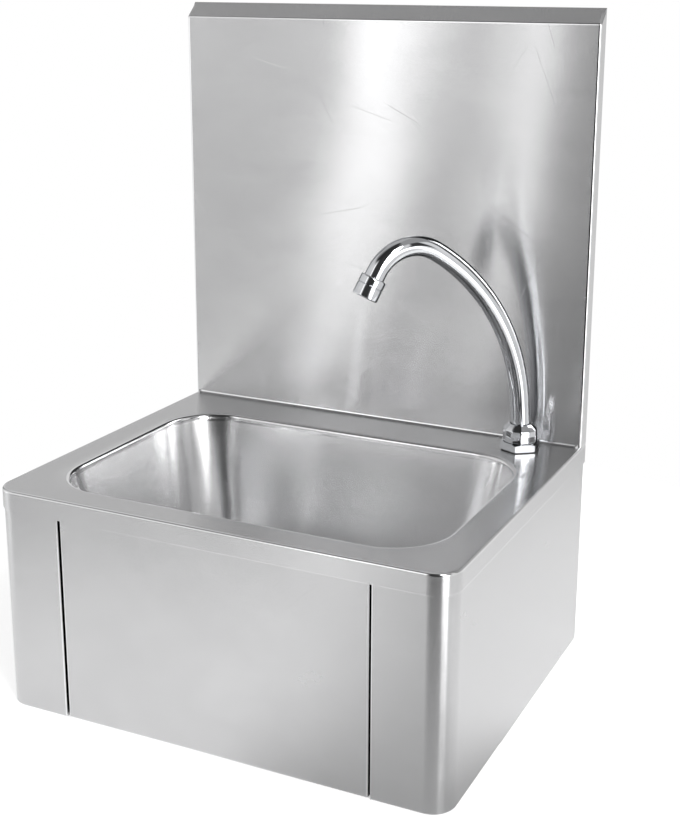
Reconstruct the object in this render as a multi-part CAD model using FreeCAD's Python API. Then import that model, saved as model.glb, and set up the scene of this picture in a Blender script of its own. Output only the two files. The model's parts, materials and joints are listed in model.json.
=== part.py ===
"""Wall-hung stainless steel hand wash sink with a knee-pushed front panel.

Millimetres.  +Z is up, -Y is the front, and the wall is the plane Y = 0.  The origin is the centre
of the four wall screws, which is also half way up the casing.
"""
import FreeCAD, Part
import math
import os

os.makedirs("parts", exist_ok=True)
V = FreeCAD.Vector

# ---------------------------------------------------------------- driving dimensions
width = 400.0                 # over the deck's turned-down rim
depth = 320.0                 # wall to front of the rim
casing_height = 190.0         # casing's bottom edge to the deck's top
splash_height = 367.0         # deck's top to the splashback's front top edge
splash_depth = 14.0           # the splashback stands this far off the wall
splash_rise = 13.0            # its sloping top climbs this much towards the wall
sheet = 1.0                   # stainless sheet
corner_radius = 20.0          # front corners in plan
rim_height = 17.0             # deck's turned-down rim
rim_bend = 1.8
fold = 2.5                    # outside radius of the splashback's folds

bowl_length = 344.0           # where the rolled edge leaves the deck
bowl_width = 232.0
bowl_corner = 52.0
bowl_centre_y = -179.0
roll = 3.2                    # radius of the rolled edge
bowl_depth = 140.0
bowl_draft = 9.0              # degrees
bowl_foot_radius = 40.0       # wall to floor

slit_gap = 1.8                # between the knee panel and each cheek
panel_half_width = 135.6
hinge_y = -307.0
hinge_below_deck = 12.0
knee_angle = 4.2              # degrees, full push
rod_radius = 3.0

screw_spacing_x = 360.0
screw_spacing_z = 120.0
screw_hole_radius = 4.25

spout_x = 150.5
spout_y = -38.0
spout_heading = 228.0         # degrees from +X, plan direction of the outlet at rest
tube_radius = 8.5
tube_bore = 7.0
lean_radius = 110.0           # three arcs of the swan neck and the straight after the first
lean_angle = 4.2
neck_straight = 18.4
rise_radius = 179.0
rise_angle = 54.0
crook_radius = 38.1
crook_angle = 93.7
outlet_straight = 6.0
outlet_radius = 11.0
outlet_length = 16.5

valve_x = 116.0
valve_z = -66.0
valve_port_y = -225.0
half_inch_thread = 10.48      # G 1/2 major radius
waste_thread = 23.9           # G 1 1/2 major radius
hose_radius = 6.5
hose_bore = 4.0
button_face = -310.7          # front of the knee valve's button at rest
button_gap = 0.3              # from it to the knee panel's pad

# ---------------------------------------------------------------- levels worked out from them
deck_top = casing_height / 2
deck_under = deck_top - sheet
casing_bottom = -casing_height / 2
half_width = width / 2
wall_half = half_width - sheet            # the casing tucks inside the rim
wall_front = -depth + sheet
cheek_edge = panel_half_width + slit_gap
bowl_rim_end = deck_top - roll - 3.0      # where the bowl is welded to the rolled edge
bowl_floor = deck_top - bowl_depth
waste_recess = 2.5
waste_seat = bowl_floor - waste_recess
hinge_z = deck_top - hinge_below_deck
foot_half = half_width - 5.5              # the splashback's foot lies between two tongues of the deck
casing_top = deck_under - (rim_bend - sheet)     # clear of the rim's inside bend
splash_top = deck_top + splash_height


# ---------------------------------------------------------------- helpers
def box(x0, x1, y0, y1, z0, z1):
    return Part.makeBox(x1 - x0, y1 - y0, z1 - z0, V(x0, y0, z0))


def cylinder(radius, start, direction, length):
    return Part.makeCylinder(radius, length, V(*start), V(*direction))


def ring(outer, inner, start, direction, length):
    return cylinder(outer, start, direction, length).cut(cylinder(inner, start, direction, length))


def polygon(across_flats, sides, turn, z=0.0):
    """Closed wire of equal sides, with one flat square to the turn angle."""
    corner = across_flats / 2 / math.cos(math.pi / sides)
    angles = [math.radians(turn) + (index + 0.5) * 2 * math.pi / sides for index in range(sides + 1)]
    return Part.makePolygon([V(corner * math.cos(angle), corner * math.sin(angle), z) for angle in angles])


def hexagon(across_flats, start, direction, length, sides=6, turn=0.0):
    """Prism of equal sides along a direction."""
    prism = Part.Face(polygon(across_flats, sides, turn)).extrude(V(0, 0, length))
    turned = FreeCAD.Rotation(V(0, 0, 1), V(*direction))
    prism.Placement = FreeCAD.Placement(V(*start), turned)
    return prism


def chamfered_nut(across_flats, bore, start, direction, length, sides=6, ends=(1.2, 1.2), turn=0.0):
    """Nut whose corners are turned off in a cone at each end."""
    prism = hexagon(across_flats, start, direction, length, sides, turn)
    widest = across_flats / 2 / math.cos(math.pi / sides)
    flat = across_flats / 2 - 0.2
    profile = [V(0, 0, 0), V(flat, 0, 0), V(widest, 0, ends[0]), V(widest, 0, length - ends[1]),
               V(flat, 0, length), V(0, 0, length), V(0, 0, 0)]
    turned = Part.Face(Part.makePolygon(profile)).revolve(V(0, 0, 0), V(0, 0, 1), 360)
    turned.Placement = FreeCAD.Placement(V(*start), FreeCAD.Rotation(V(0, 0, 1), V(*direction)))
    return prism.common(turned).cut(cylinder(bore, start, direction, length))


def rounded_wire(half_x, half_y, radius, centre_y, z):
    """Closed rectangle with round corners: four lines and four quarter circles."""
    corners = []
    for quarter, (sign_x, sign_y) in enumerate(((1, 1), (-1, 1), (-1, -1), (1, -1))):
        middle = V(sign_x * (half_x - radius), centre_y + sign_y * (half_y - radius), z)
        angles = [(quarter + share) * math.pi / 2 for share in (0.0, 0.5, 1.0)]
        corners.append([middle + V(radius * math.cos(a), radius * math.sin(a), 0) for a in angles])
    edges = []
    for quarter, points in enumerate(corners):
        edges.append(Part.Arc(*points).toShape())
        edges.append(Part.LineSegment(points[-1], corners[(quarter + 1) % 4][0]).toShape())
    return Part.Wire(edges)


def rounded_prism(half_x, half_y, radius, centre_y, z0, z1):
    return Part.Face(rounded_wire(half_x, half_y, radius, centre_y, z0)).extrude(V(0, 0, z1 - z0))


def front_rounded_prism(half_x, front, back, radius, z0, z1):
    """Plate in plan with only its two front corners rounded."""
    block = box(-half_x, half_x, front, back, z0, z1)
    corners = [edge for edge in block.Edges
               if edge.Length > 0 and abs(edge.BoundBox.ZLength - (z1 - z0)) < 1e-6
               and edge.BoundBox.YMax < front + 1e-6]
    return block.makeFillet(radius, corners)


def edges_at(shape, keep):
    return [edge for edge in shape.Edges if keep(edge.BoundBox)]


def mirrored(shape):
    return shape.mirror(V(0, 0, 0), V(1, 0, 0))


def rounded_path(points, radii):
    """Straight runs joined by tangent arcs; radii holds one value per inner point."""
    edges = []
    at = points[0]
    for index in range(1, len(points) - 1):
        corner = points[index]
        back = (points[index - 1] - corner).normalize()
        ahead = (points[index + 1] - corner).normalize()
        half_turn = (math.pi - back.getAngle(ahead)) / 2
        reach = radii[index - 1] * math.tan(half_turn)
        start = corner + back * reach
        end = corner + ahead * reach
        middle_way = (back + ahead).normalize()
        hub = corner + middle_way * (radii[index - 1] / math.cos(half_turn))
        through = hub - middle_way * radii[index - 1]
        edges.append(Part.LineSegment(at, start).toShape())
        edges.append(Part.Arc(start, through, end).toShape())
        at = end
    edges.append(Part.LineSegment(at, points[-1]).toShape())
    return Part.Wire(edges)


def pipe(path, radius):
    """Round bar along a path, compared with its section times its length."""
    first = path.Edges[0]
    start = first.Vertexes[0].Point
    along = first.tangentAt(first.FirstParameter)
    disc = Part.Face(Part.Wire(Part.makeCircle(radius, start, along)))
    bar = path.makePipe(disc)
    wanted = math.pi * radius ** 2 * path.Length
    print("pipe of radius %.1f: volume is %.4f of section times length" % (radius, bar.Volume / wanted))
    return bar


def save(name, shape):
    shape = shape.removeSplitter() if len(shape.Solids) == 1 else shape
    if len(shape.Solids) == 1:
        shape = shape.Solids[0]
    bounds = shape.BoundBox
    print("%-22s solids %d valid %s  x %.1f..%.1f y %.1f..%.1f z %.1f..%.1f" % (
        name, len(shape.Solids), shape.isValid(), bounds.XMin, bounds.XMax,
        bounds.YMin, bounds.YMax, bounds.ZMin, bounds.ZMax))
    shape.exportStep("parts/%s.step" % name)


def save_group(name, solids):
    save(name, Part.makeCompound(solids))


# ---------------------------------------------------------------- deck with its rolled bowl edge
def bowl_plan(inset, z0, z1):
    return rounded_prism(bowl_length / 2 - inset, bowl_width / 2 - inset, bowl_corner - inset,
                         bowl_centre_y, z0, z1)


def deck_layer(half_x, front, back, corner, bottom, top, bend, opening_inset, lip_radius):
    """Solid under one face of the deck's sheet: bent at the rim and rolled at the bowl's opening."""
    layer = front_rounded_prism(half_x, front, back, corner, bottom, top)
    layer = layer.makeFillet(bend, edges_at(layer, lambda b: b.ZMin > top - 1e-6 and b.YMin < -1.0))
    layer = layer.cut(bowl_plan(opening_inset, bottom, top))
    margin = 20.0
    lip = edges_at(layer, lambda b: b.ZMin > top - 1e-6 and abs(b.Center.x) < half_width - margin
                   and margin - depth < b.Center.y < -margin)
    return layer.makeFillet(lip_radius, lip)


def deck():
    rim_bottom = deck_top - rim_height
    outside = deck_layer(half_width, -depth, 0.0, corner_radius, rim_bottom, deck_top, rim_bend, roll, roll)
    under = deck_layer(wall_half, wall_front, 2.0, corner_radius - sheet, rim_bottom - 1, deck_under,
                       rim_bend - sheet, roll - sheet, roll - sheet)
    shape = outside.cut(under)
    shape = shape.cut(bowl_plan(0, rim_bottom - 1, bowl_rim_end))
    # the splashback's foot fills the back between two narrow tongues
    shape = shape.cut(box(-foot_half, foot_half, -splash_depth - fold, 1, deck_under - 1, deck_top + 1))
    spout_hole = half_inch_thread + 0.7
    shape = shape.cut(cylinder(spout_hole, (spout_x, spout_y, deck_under - 1), (0, 0, 1), 4))
    save("deck", shape)


# ---------------------------------------------------------------- splashback
def splash_block(inset, extra_back, extra_down):
    """Solid of the splashback's outside, or of its hollow when inset by the sheet."""
    front = -splash_depth + inset
    slope = splash_rise / splash_depth
    drop = inset * math.hypot(1, slope)
    front_top = splash_top + slope * inset - drop
    back_top = splash_top + slope * (splash_depth + extra_back) - drop
    low = deck_top - extra_down
    side = half_width - inset
    profile = [V(-side, front, low), V(-side, front, front_top), V(-side, extra_back, back_top),
               V(-side, extra_back, low), V(-side, front, low)]
    block = Part.Face(Part.makePolygon(profile)).extrude(V(2 * side, 0, 0))
    bend = fold - inset
    edges = edges_at(block, lambda b: b.YMax < front + 1e-6 and (b.ZLength > 100 or b.ZMin > deck_top + 50))
    block = block.makeFillet(bend, edges)
    ends = edges_at(block, lambda b: abs(b.XMax - b.XMin) < bend + 1e-6 and b.ZMin > splash_top - 4
                    and b.YMax > -1 and b.YLength > 5)
    return block.makeFillet(max(bend - 0.5, 0.6), ends)


def splashback():
    shape = splash_block(0, 0, 0).cut(splash_block(sheet, 3, 3))
    # foot: a quarter turn from the deck's level up into the upright
    turn_y = -splash_depth - fold
    turn_z = deck_top + fold
    outer = cylinder(fold + sheet, (-foot_half, turn_y, turn_z), (1, 0, 0), 2 * foot_half)
    inner = cylinder(fold, (-foot_half, turn_y, turn_z), (1, 0, 0), 2 * foot_half)
    quarter = box(-foot_half, foot_half, turn_y, -splash_depth + sheet, deck_under, turn_z)
    foot = outer.cut(inner).common(quarter)
    clear_low = box(-foot_half, foot_half, -splash_depth - 1, -splash_depth + sheet,
                    deck_top - 1, turn_z)
    shape = shape.cut(clear_low).fuse(foot)
    # relief notches beside the foot, and edges turned in against the wall
    notch_radius = 1.6
    notch_height = 1.4
    wall_edge = 12.0
    for side in (1, -1):
        notch = cylinder(notch_radius, (side * (foot_half + 1), -splash_depth - 3, deck_top + notch_height),
                         (0, 1, 0), 5)
        turned_in = sorted((side * (half_width - wall_edge), side * wall_half))
        seat = box(turned_in[0], turned_in[1], -sheet, 0, deck_top + 6, splash_top)
        shape = shape.cut(notch).fuse(seat)
    top_edge = box(-half_width + wall_edge, half_width - wall_edge, -sheet, 0,
                   splash_top - 4, splash_top + splash_rise - 3)
    save("splashback", shape.fuse(top_edge))


# ---------------------------------------------------------------- casing sides with front cheeks
def side_panel(side):
    outer = front_rounded_prism(wall_half, wall_front, 0, corner_radius - sheet, casing_bottom, casing_top)
    inner = front_rounded_prism(wall_half - sheet, wall_front + sheet, 1, corner_radius - 2 * sheet,
                                casing_bottom, casing_top)
    keep = box(cheek_edge, half_width, -depth, 0, casing_bottom, casing_top)
    shape = outer.cut(inner).common(keep)
    return_depth = 13.0
    rod_clear = 1.2
    flange_width = 32.0
    hem_width = 13.0
    hem_back = -205.0
    slit_return = box(cheek_edge, cheek_edge + sheet, wall_front, wall_front + return_depth,
                      casing_bottom, casing_top)
    notch = rod_radius + rod_clear
    slit_return = slit_return.cut(box(cheek_edge - 1, cheek_edge + 2 * sheet, hinge_y - notch, hinge_y + notch,
                                      hinge_z - notch, hinge_z + notch))
    rear_flange = box(wall_half - flange_width, wall_half, -sheet, 0, casing_bottom, casing_top)
    hem_outer = front_rounded_prism(wall_half, wall_front, 0, corner_radius - sheet,
                                    casing_bottom, casing_bottom + sheet)
    hem_inner = front_rounded_prism(wall_half - hem_width, wall_front + hem_width, 1,
                                    corner_radius - sheet - hem_width, casing_bottom, casing_bottom + sheet)
    hem_keep = box(cheek_edge, half_width, -depth, hem_back, casing_bottom, casing_bottom + sheet)
    hem = hem_outer.cut(hem_inner).common(hem_keep)
    shape = shape.multiFuse([slit_return, rear_flange, hem]).removeSplitter()
    fold_edge = edges_at(shape, lambda b: b.ZLength > 100 and abs(b.XMax - cheek_edge) < 1e-6
                         and b.YMax < wall_front + 1e-6)
    shape = shape.makeFillet(0.8, fold_edge)
    for z in (-screw_spacing_z / 2, screw_spacing_z / 2):
        shape = shape.cut(cylinder(screw_hole_radius, (screw_spacing_x / 2, -4, z), (0, 1, 0), 8))
    return shape if side > 0 else mirrored(shape)


def rear_rail():
    """Angle between the two rear flanges, under the back of the deck."""
    half = wall_half - 32.5
    gauge = 1.2
    web = box(-half, half, -gauge, 0, deck_under - 34, deck_under)
    leg = box(-half, half, -13.0, 0, deck_under - gauge, deck_under)
    save("rear_rail", web.fuse(leg))


# ---------------------------------------------------------------- bowl
def bowl_section(inset, z, grow):
    """Plan of the bowl at one level; grow moves it outwards by the sheet for the outside."""
    corner = bowl_corner - roll - 0.14 * inset + grow
    return rounded_wire(bowl_length / 2 - roll - inset, bowl_width / 2 - roll - inset, corner,
                        bowl_centre_y, z)


def bowl_form(thickness):
    """Loft of the bowl: a drafted wall, then a round foot that runs out into the flat floor."""
    draft = math.radians(bowl_draft)
    hub_z = bowl_floor + bowl_foot_radius
    radius = bowl_foot_radius + thickness
    tangent_z = hub_z - bowl_foot_radius * math.sin(draft)
    hub_inset = (bowl_rim_end - tangent_z) * math.tan(draft) + bowl_foot_radius * math.cos(draft)
    top_inset = -thickness / math.cos(draft)
    sections = []
    wall_steps = 4
    foot_steps = 7
    low_inset = hub_inset - radius * math.cos(draft)
    low_z = hub_z - radius * math.sin(draft)
    for step in range(wall_steps):
        share = step / wall_steps
        inset = top_inset + (low_inset - top_inset) * share
        sections.append(bowl_section(inset, bowl_rim_end + (low_z - bowl_rim_end) * share, thickness))
    for step in range(foot_steps + 1):
        angle = draft + (math.pi / 2 - draft) * step / foot_steps
        sections.append(bowl_section(hub_inset - radius * math.cos(angle),
                                     hub_z - radius * math.sin(angle), thickness))
    return Part.makeLoft(sections, True, False)


def bowl():
    recess_radius = 37.0
    up = (0, 0, 1)
    dish = cylinder(recess_radius + sheet, (0, bowl_centre_y, waste_seat - sheet), up, 3)
    outside = bowl_form(sheet).fuse(dish)
    inside = bowl_form(0).fuse(cylinder(recess_radius, (0, bowl_centre_y, waste_seat), up, 4))
    hole = cylinder(waste_thread + 1.1, (0, bowl_centre_y, waste_seat - 5), up, 10)
    save("bowl", outside.cut(inside).cut(hole))


# ---------------------------------------------------------------- knee panel and its hinge
def knee_panel():
    front = wall_front + 0.6
    top = deck_top - 5.5
    half = panel_half_width
    side_return = 16.3
    top_return = 7.0
    bottom_return = 12.0
    bend = 1.4
    back = front + side_return
    shell = box(-half, half, front, back, casing_bottom, top)
    shell = shell.makeFillet(bend, edges_at(shell, lambda b: b.YMax < front + 1e-6))
    hollow = box(-half + sheet, half - sheet, front + sheet, back + 1, casing_bottom + sheet, top - sheet)
    hollow = hollow.makeFillet(0.6, edges_at(hollow, lambda b: b.YMax < front + sheet + 1e-6))
    shape = shell.cut(hollow)
    for level, reach in ((top - 3, top_return), (casing_bottom - 1, bottom_return)):
        shape = shape.cut(box(-half + 3, half - 3, front + reach, back + 1, level, level + 4))
    stop_low = casing_bottom + 10
    stop_height = 22.0
    for side in (1, -1):
        ear = box(half - sheet, half, hinge_y - 2, hinge_y + 7, hinge_z - 7, hinge_z + 5)
        stop = box(half - sheet, cheek_edge + 7, back - sheet, back, stop_low, stop_low + stop_height)
        for extra in (ear, stop):
            shape = shape.fuse(extra if side > 0 else mirrored(extra))
    bush_radius = 4.0
    shape = shape.cut(cylinder(bush_radius, (-half - 1, hinge_y, hinge_z), (1, 0, 0), 2 * half + 2))
    save("knee_panel", shape)

    collar_radius = 5.2
    bush_bore = rod_radius + 0.06
    bushes = []
    for side in (1, -1):
        start = (side * (half - 4.5), hinge_y, hinge_z)
        bush = ring(bush_radius, bush_bore, start, (side, 0, 0), 5.3)
        bushes.append(bush.fuse(ring(collar_radius, bush_bore, start, (side, 0, 0), 3.5)))
    save_group("hinge_bushes", bushes)

    thick = 2.5
    buffers = []
    for side in (1, -1):
        ends = sorted((side * (cheek_edge - 0.8), side * (cheek_edge + 6.5)))
        buffers.append(box(ends[0], ends[1], back - sheet - thick, back - sheet,
                           stop_low + 1, stop_low + stop_height - 1))
    save_group("panel_buffers", buffers)

    pad_radius = 13.0
    pad_face = button_face - button_gap
    pad = cylinder(pad_radius, (valve_x, front + sheet, valve_z), (0, 1, 0), pad_face - (front + sheet))
    rim = edges_at(pad, lambda b: b.YMin > pad_face - 1e-6)
    save("strike_pad", pad.makeFillet(1.5, rim))


def hinge_hardware():
    gauge = 1.5
    ear_inner = cheek_edge + 4.6
    base_width = 24.0
    inside = wall_front + sheet
    for side, name in ((1, "right"), (-1, "left")):
        base = box(ear_inner, ear_inner + base_width, inside, inside + gauge, hinge_z - 14, hinge_z + 8)
        ear = box(ear_inner, ear_inner + gauge, inside, hinge_y + 7, hinge_z - 8, hinge_z + 8)
        shape = base.fuse(ear).cut(cylinder(rod_radius, (0, hinge_y, hinge_z), (1, 0, 0), half_width))
        save("hinge_bracket_" + name, shape if side > 0 else mirrored(shape))
    rod_half = ear_inner + 6
    rod = cylinder(rod_radius, (-rod_half, hinge_y, hinge_z), (1, 0, 0), 2 * rod_half)
    save("hinge_rod", rod.makeChamfer(0.5, edges_at(rod, lambda b: b.XLength < 1e-6)))
    clip_radius = 6.0
    clips = []
    for side in (1, -1):
        start = (side * (ear_inner + gauge), hinge_y, hinge_z)
        clips.append(ring(clip_radius, rod_radius, start, (side, 0, 0), 1.6))
    save_group("rod_clips", clips)


# ---------------------------------------------------------------- knee valve
def at_valve(y):
    return (valve_x, y, valve_z)


def valve():
    back = (0, 1, 0)
    plate_front = -282.0
    plate_back = plate_front + 2.0
    plate_edge = valve_x - 26
    low, high = valve_z - 22, valve_z + 22
    neck_radius = 14.0
    plate = box(plate_edge, wall_half - sheet, plate_front, plate_back, low, high)
    flange = box(wall_half - 3, wall_half - sheet, plate_front, plate_back + 26, low, high)
    bracket = plate.fuse(flange)
    bracket = bracket.makeFillet(8, edges_at(bracket, lambda b: abs(b.XMax - plate_edge) < 1e-6
                                             and b.XLength < 1e-6 and b.YLength > 1 and b.ZLength < 1e-6))
    bracket = bracket.cut(cylinder(neck_radius + 0.1, at_valve(plate_front - 1), back, 5))
    save("valve_bracket", bracket)

    port_half = 24.0
    port_bore = 6.0
    button_radius = 9.0
    barrel = cylinder(17, at_valve(plate_back), back, 75)
    barrel = barrel.makeFillet(2.5, edges_at(barrel, lambda b: b.YLength < 1e-6 and b.YMin > plate_back + 50))
    neck = cylinder(neck_radius, at_valve(plate_front - 10), back, 14)
    nipple = cylinder(10.4, at_valve(plate_back + 73), back, 16)
    ports = cylinder(13, (valve_x - port_half, valve_port_y, valve_z), (1, 0, 0), 2 * port_half)
    body = barrel.multiFuse([neck, nipple, ports])
    bores = [
        cylinder(button_radius + 0.06, at_valve(plate_front - 11), back, 31),
        cylinder(5.0, at_valve(-263), back, 30),         # stem's passage
        cylinder(9.0, at_valve(-240), back, 28),         # mixing chamber
        cylinder(5.5, at_valve(-215), back, 30),         # outlet
        cylinder(port_bore, (valve_x - 30, valve_port_y, valve_z), (1, 0, 0), 60),
    ]
    for bore in bores:
        body = body.cut(bore)
    save("valve_body", body)

    washer = 1.5
    nut = 7.0
    save("valve_washer", ring(18.5, neck_radius + 0.05, at_valve(plate_front - washer), back, washer))
    save("valve_nut", chamfered_nut(36, neck_radius, at_valve(plate_front - washer - nut), back, nut))

    # push button: a domed cap that slides in the neck, with its stem and seat disc
    dome = 30.0
    stem_radius = 3.0
    cap = cylinder(button_radius, at_valve(button_face), back, 26)
    cap = cap.common(Part.makeSphere(dome, V(*at_valve(button_face + dome))))
    cap = cap.cut(cylinder(button_radius - 1.3, at_valve(button_face + 3), back, 24))
    stem = cylinder(stem_radius, at_valve(button_face + 2), back, 77)
    save("push_button", cap.fuse(stem))
    save("valve_seat_disc", ring(7.4, stem_radius, at_valve(-238.5), back, 3))
    save("stem_seal", ring(5.0, stem_radius + 0.06, at_valve(-258), back, 3))

    spring_radius = 6.2
    pitch = 5.2
    wire = Part.Wire(Part.makeCircle(0.6, V(spring_radius, 0, 0), V(0, 1, 0)))
    coil = Part.Wire(Part.makeHelix(pitch, 8 * pitch, spring_radius))
    spring = coil.makePipeShell([wire], True, True)
    spring.Placement = FreeCAD.Placement(V(*at_valve(button_face + 4.3)),
                                         FreeCAD.Rotation(V(0, 0, 1), V(0, 1, 0)))
    save("valve_spring", spring)

    nut = 9.0
    tail = 14.0
    screens = []
    for side, name in ((1, "cold"), (-1, "hot")):
        start = valve_x + side * port_half
        hexed = chamfered_nut(27, port_bore, (start, valve_port_y, valve_z), (side, 0, 0), nut)
        thread = ring(half_inch_thread, port_bore, (start + side * nut, valve_port_y, valve_z),
                      (side, 0, 0), tail)
        save("check_valve_" + name, hexed.fuse(thread))
        end = (start + side * (nut + tail - 1.5), valve_port_y, valve_z)
        screens.append(cylinder(port_bore, end, (side, 0, 0), 0.8))
    save_group("inlet_screens", screens)


# ---------------------------------------------------------------- hose from the valve to the spout
def hose():
    start = V(valve_x, -189, valve_z)
    first_turn = start + V(0, 61, 0)
    second_turn = V(spout_x, spout_y, valve_z)
    end = V(spout_x, spout_y, 30)
    points = [start, first_turn, second_turn, end]
    radii = []
    for index in (1, 2):
        shorter = min((points[index] - points[index - 1]).Length, (points[index + 1] - points[index]).Length)
        turn = math.pi - (points[index - 1] - points[index]).getAngle(points[index + 1] - points[index])
        radii.append(0.45 * shorter / math.tan(turn / 2))
    print("hose bend radii", [round(radius, 1) for radius in radii])
    path = rounded_path(points, radii)
    print("hose length %.1f" % path.Length)
    save("outlet_hose", pipe(path, hose_radius).cut(pipe(path, hose_bore)))

    ferrule_radius = 7.9
    ferrule = 18.0
    nut = 12.0
    collar = 2.0
    ends = [(start, V(0, 1, 0)), (end, V(0, 0, -1))]
    ferrules = [ring(ferrule_radius, hose_radius, place, along, ferrule) for place, along in ends]
    save_group("hose_ferrules", ferrules)
    nuts = []
    for place, along in ends:
        face = place - along * (nut + collar)
        hexed = chamfered_nut(24, 10.4, face, along, nut)
        nuts.append(hexed.fuse(ring(nut, hose_bore, face + along * nut, along, collar)))
    save_group("hose_nuts", nuts)


# ---------------------------------------------------------------- spout and its swivel
def at_spout(height):
    return (spout_x, spout_y, deck_top + height)


def spout_fixing():
    up = (0, 0, 1)
    shank_radius = 10.4
    boss_radius = 11.6
    waterway = 6.0
    socket = 9.9
    flat_turn = 6.0               # degrees, plan direction of one flat on both nuts
    save("spout_gasket", ring(16.5, 10.6, at_spout(0), up, 1.0))
    hexed = chamfered_nut(31.4, waterway - 1, at_spout(1.0), up, 7.0, ends=(0.4, 1.2), turn=flat_turn)
    boss = cylinder(boss_radius, at_spout(8.0), up, 9.0)
    tail = cylinder(shank_radius, at_spout(-53), up, 54)
    shank = hexed.multiFuse([boss, tail])
    shank = shank.cut(cylinder(waterway, at_spout(-54), up, 60)).cut(cylinder(socket, at_spout(3.0), up, 20))
    save("spout_shank", shank)
    washer = 2.0
    save("shank_washer", ring(17, shank_radius + 0.1, at_spout(-sheet - washer), up, washer))
    nut = 8.0
    save("shank_locknut", chamfered_nut(30, shank_radius, at_spout(-sheet - washer - nut), up, nut))
    # twelve-sided swivel nut whose flats lean in above its body
    across, top_across, sides = 29.7, 20.6, 12
    bottom, body, taper = 8.3, 11.0, 4.7
    collar = chamfered_nut(across, 9.3, at_spout(bottom), up, body, sides, (0.6, 0.0), flat_turn)
    crown = Part.makeLoft([polygon(across, sides, flat_turn), polygon(top_across, sides, flat_turn, taper)],
                          True, True)
    crown.translate(V(*at_spout(bottom + body)))
    collar = collar.fuse(crown.cut(cylinder(9.3, at_spout(bottom), up, body + taper + 1)))
    save("swivel_nut", collar.cut(cylinder(boss_radius, at_spout(8.0), up, 9.6)))


def spout_frame():
    """Path of the swan neck, and the point and direction at which it ends."""
    heading = math.radians(spout_heading)
    out = V(math.cos(heading), math.sin(heading), 0)
    up = V(0, 0, 1)
    base = V(*at_spout(3.5))
    at = V(*at_spout(17.6))
    edges = [Part.LineSegment(base, at).toShape()]
    lean = 0.0

    def arc(at, lean, radius, turn):
        def point(angle):
            return at + out * (radius * (math.cos(lean) - math.cos(angle))) \
                + up * (radius * (math.sin(angle) - math.sin(lean)))
        end = lean + math.radians(turn)
        edges.append(Part.Arc(at, point((lean + end) / 2), point(end)).toShape())
        return point(end), end

    def run(at, lean, length):
        end = at + (out * math.sin(lean) + up * math.cos(lean)) * length
        edges.append(Part.LineSegment(at, end).toShape())
        return end

    at, lean = arc(at, lean, lean_radius, lean_angle)
    at = run(at, lean, neck_straight)
    at, lean = arc(at, lean, rise_radius, rise_angle)
    at, lean = arc(at, lean, crook_radius, crook_angle)
    at = run(at, lean, outlet_straight)
    return Part.Wire(edges), at, out * math.sin(lean) + up * math.cos(lean)


def spout():
    up = (0, 0, 1)
    path, end, along = spout_frame()
    print("spout reach %.1f, crook %.1f above the deck, outlet %.1f above it" % (
        math.hypot(end.x - spout_x, end.y - spout_y), path.BoundBox.ZMax + tube_radius - deck_top,
        (end + along * outlet_length).z - deck_top))
    save("spout_tube", pipe(path, tube_radius).cut(pipe(path, tube_bore)))
    save("spout_retaining_ring", ring(11.3, tube_radius, at_spout(17.1), up, 0.45))
    seals = []
    for height in (6.5, 11.0):
        loop = Part.makeTorus(9.16, 0.65, V(*at_spout(height)))
        seals.append(loop)
    save_group("spout_orings", seals)

    direction = (along.x, along.y, along.z)
    housing = cylinder(outlet_radius, end - along * 1.5, direction, outlet_length + 1.5)
    rims = [edge for edge in housing.Edges if edge.Closed]
    housing = housing.makeChamfer(0.7, rims)
    housing = housing.cut(cylinder(tube_radius, end - along * 2, direction, 2.01))
    housing = housing.cut(cylinder(tube_bore, end - along * 0.1, direction, 4.2))
    housing = housing.cut(cylinder(9.4, end + along * 4.0, direction, outlet_length))
    save("aerator_housing", housing)
    save("aerator_washer", ring(9.3, 6.8, end + along * 4.0, direction, 1.6))
    insert = cylinder(9.3, end + along * 5.6, direction, outlet_length - 6.8)
    holes = []
    side = V(0, 0, 1).cross(along).normalize()
    other = along.cross(side)
    for row in range(-2, 3):
        for column in range(-2, 3):
            offset = side * (row * 2.9) + other * (column * 2.9)
            if offset.Length < 7.0:
                holes.append(cylinder(0.95, end + along * 5 + offset, direction, outlet_length))
    save("aerator_insert", insert.cut(Part.makeCompound(holes)))


# ---------------------------------------------------------------- waste
def at_waste(z):
    return (0, bowl_centre_y, z)


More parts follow.
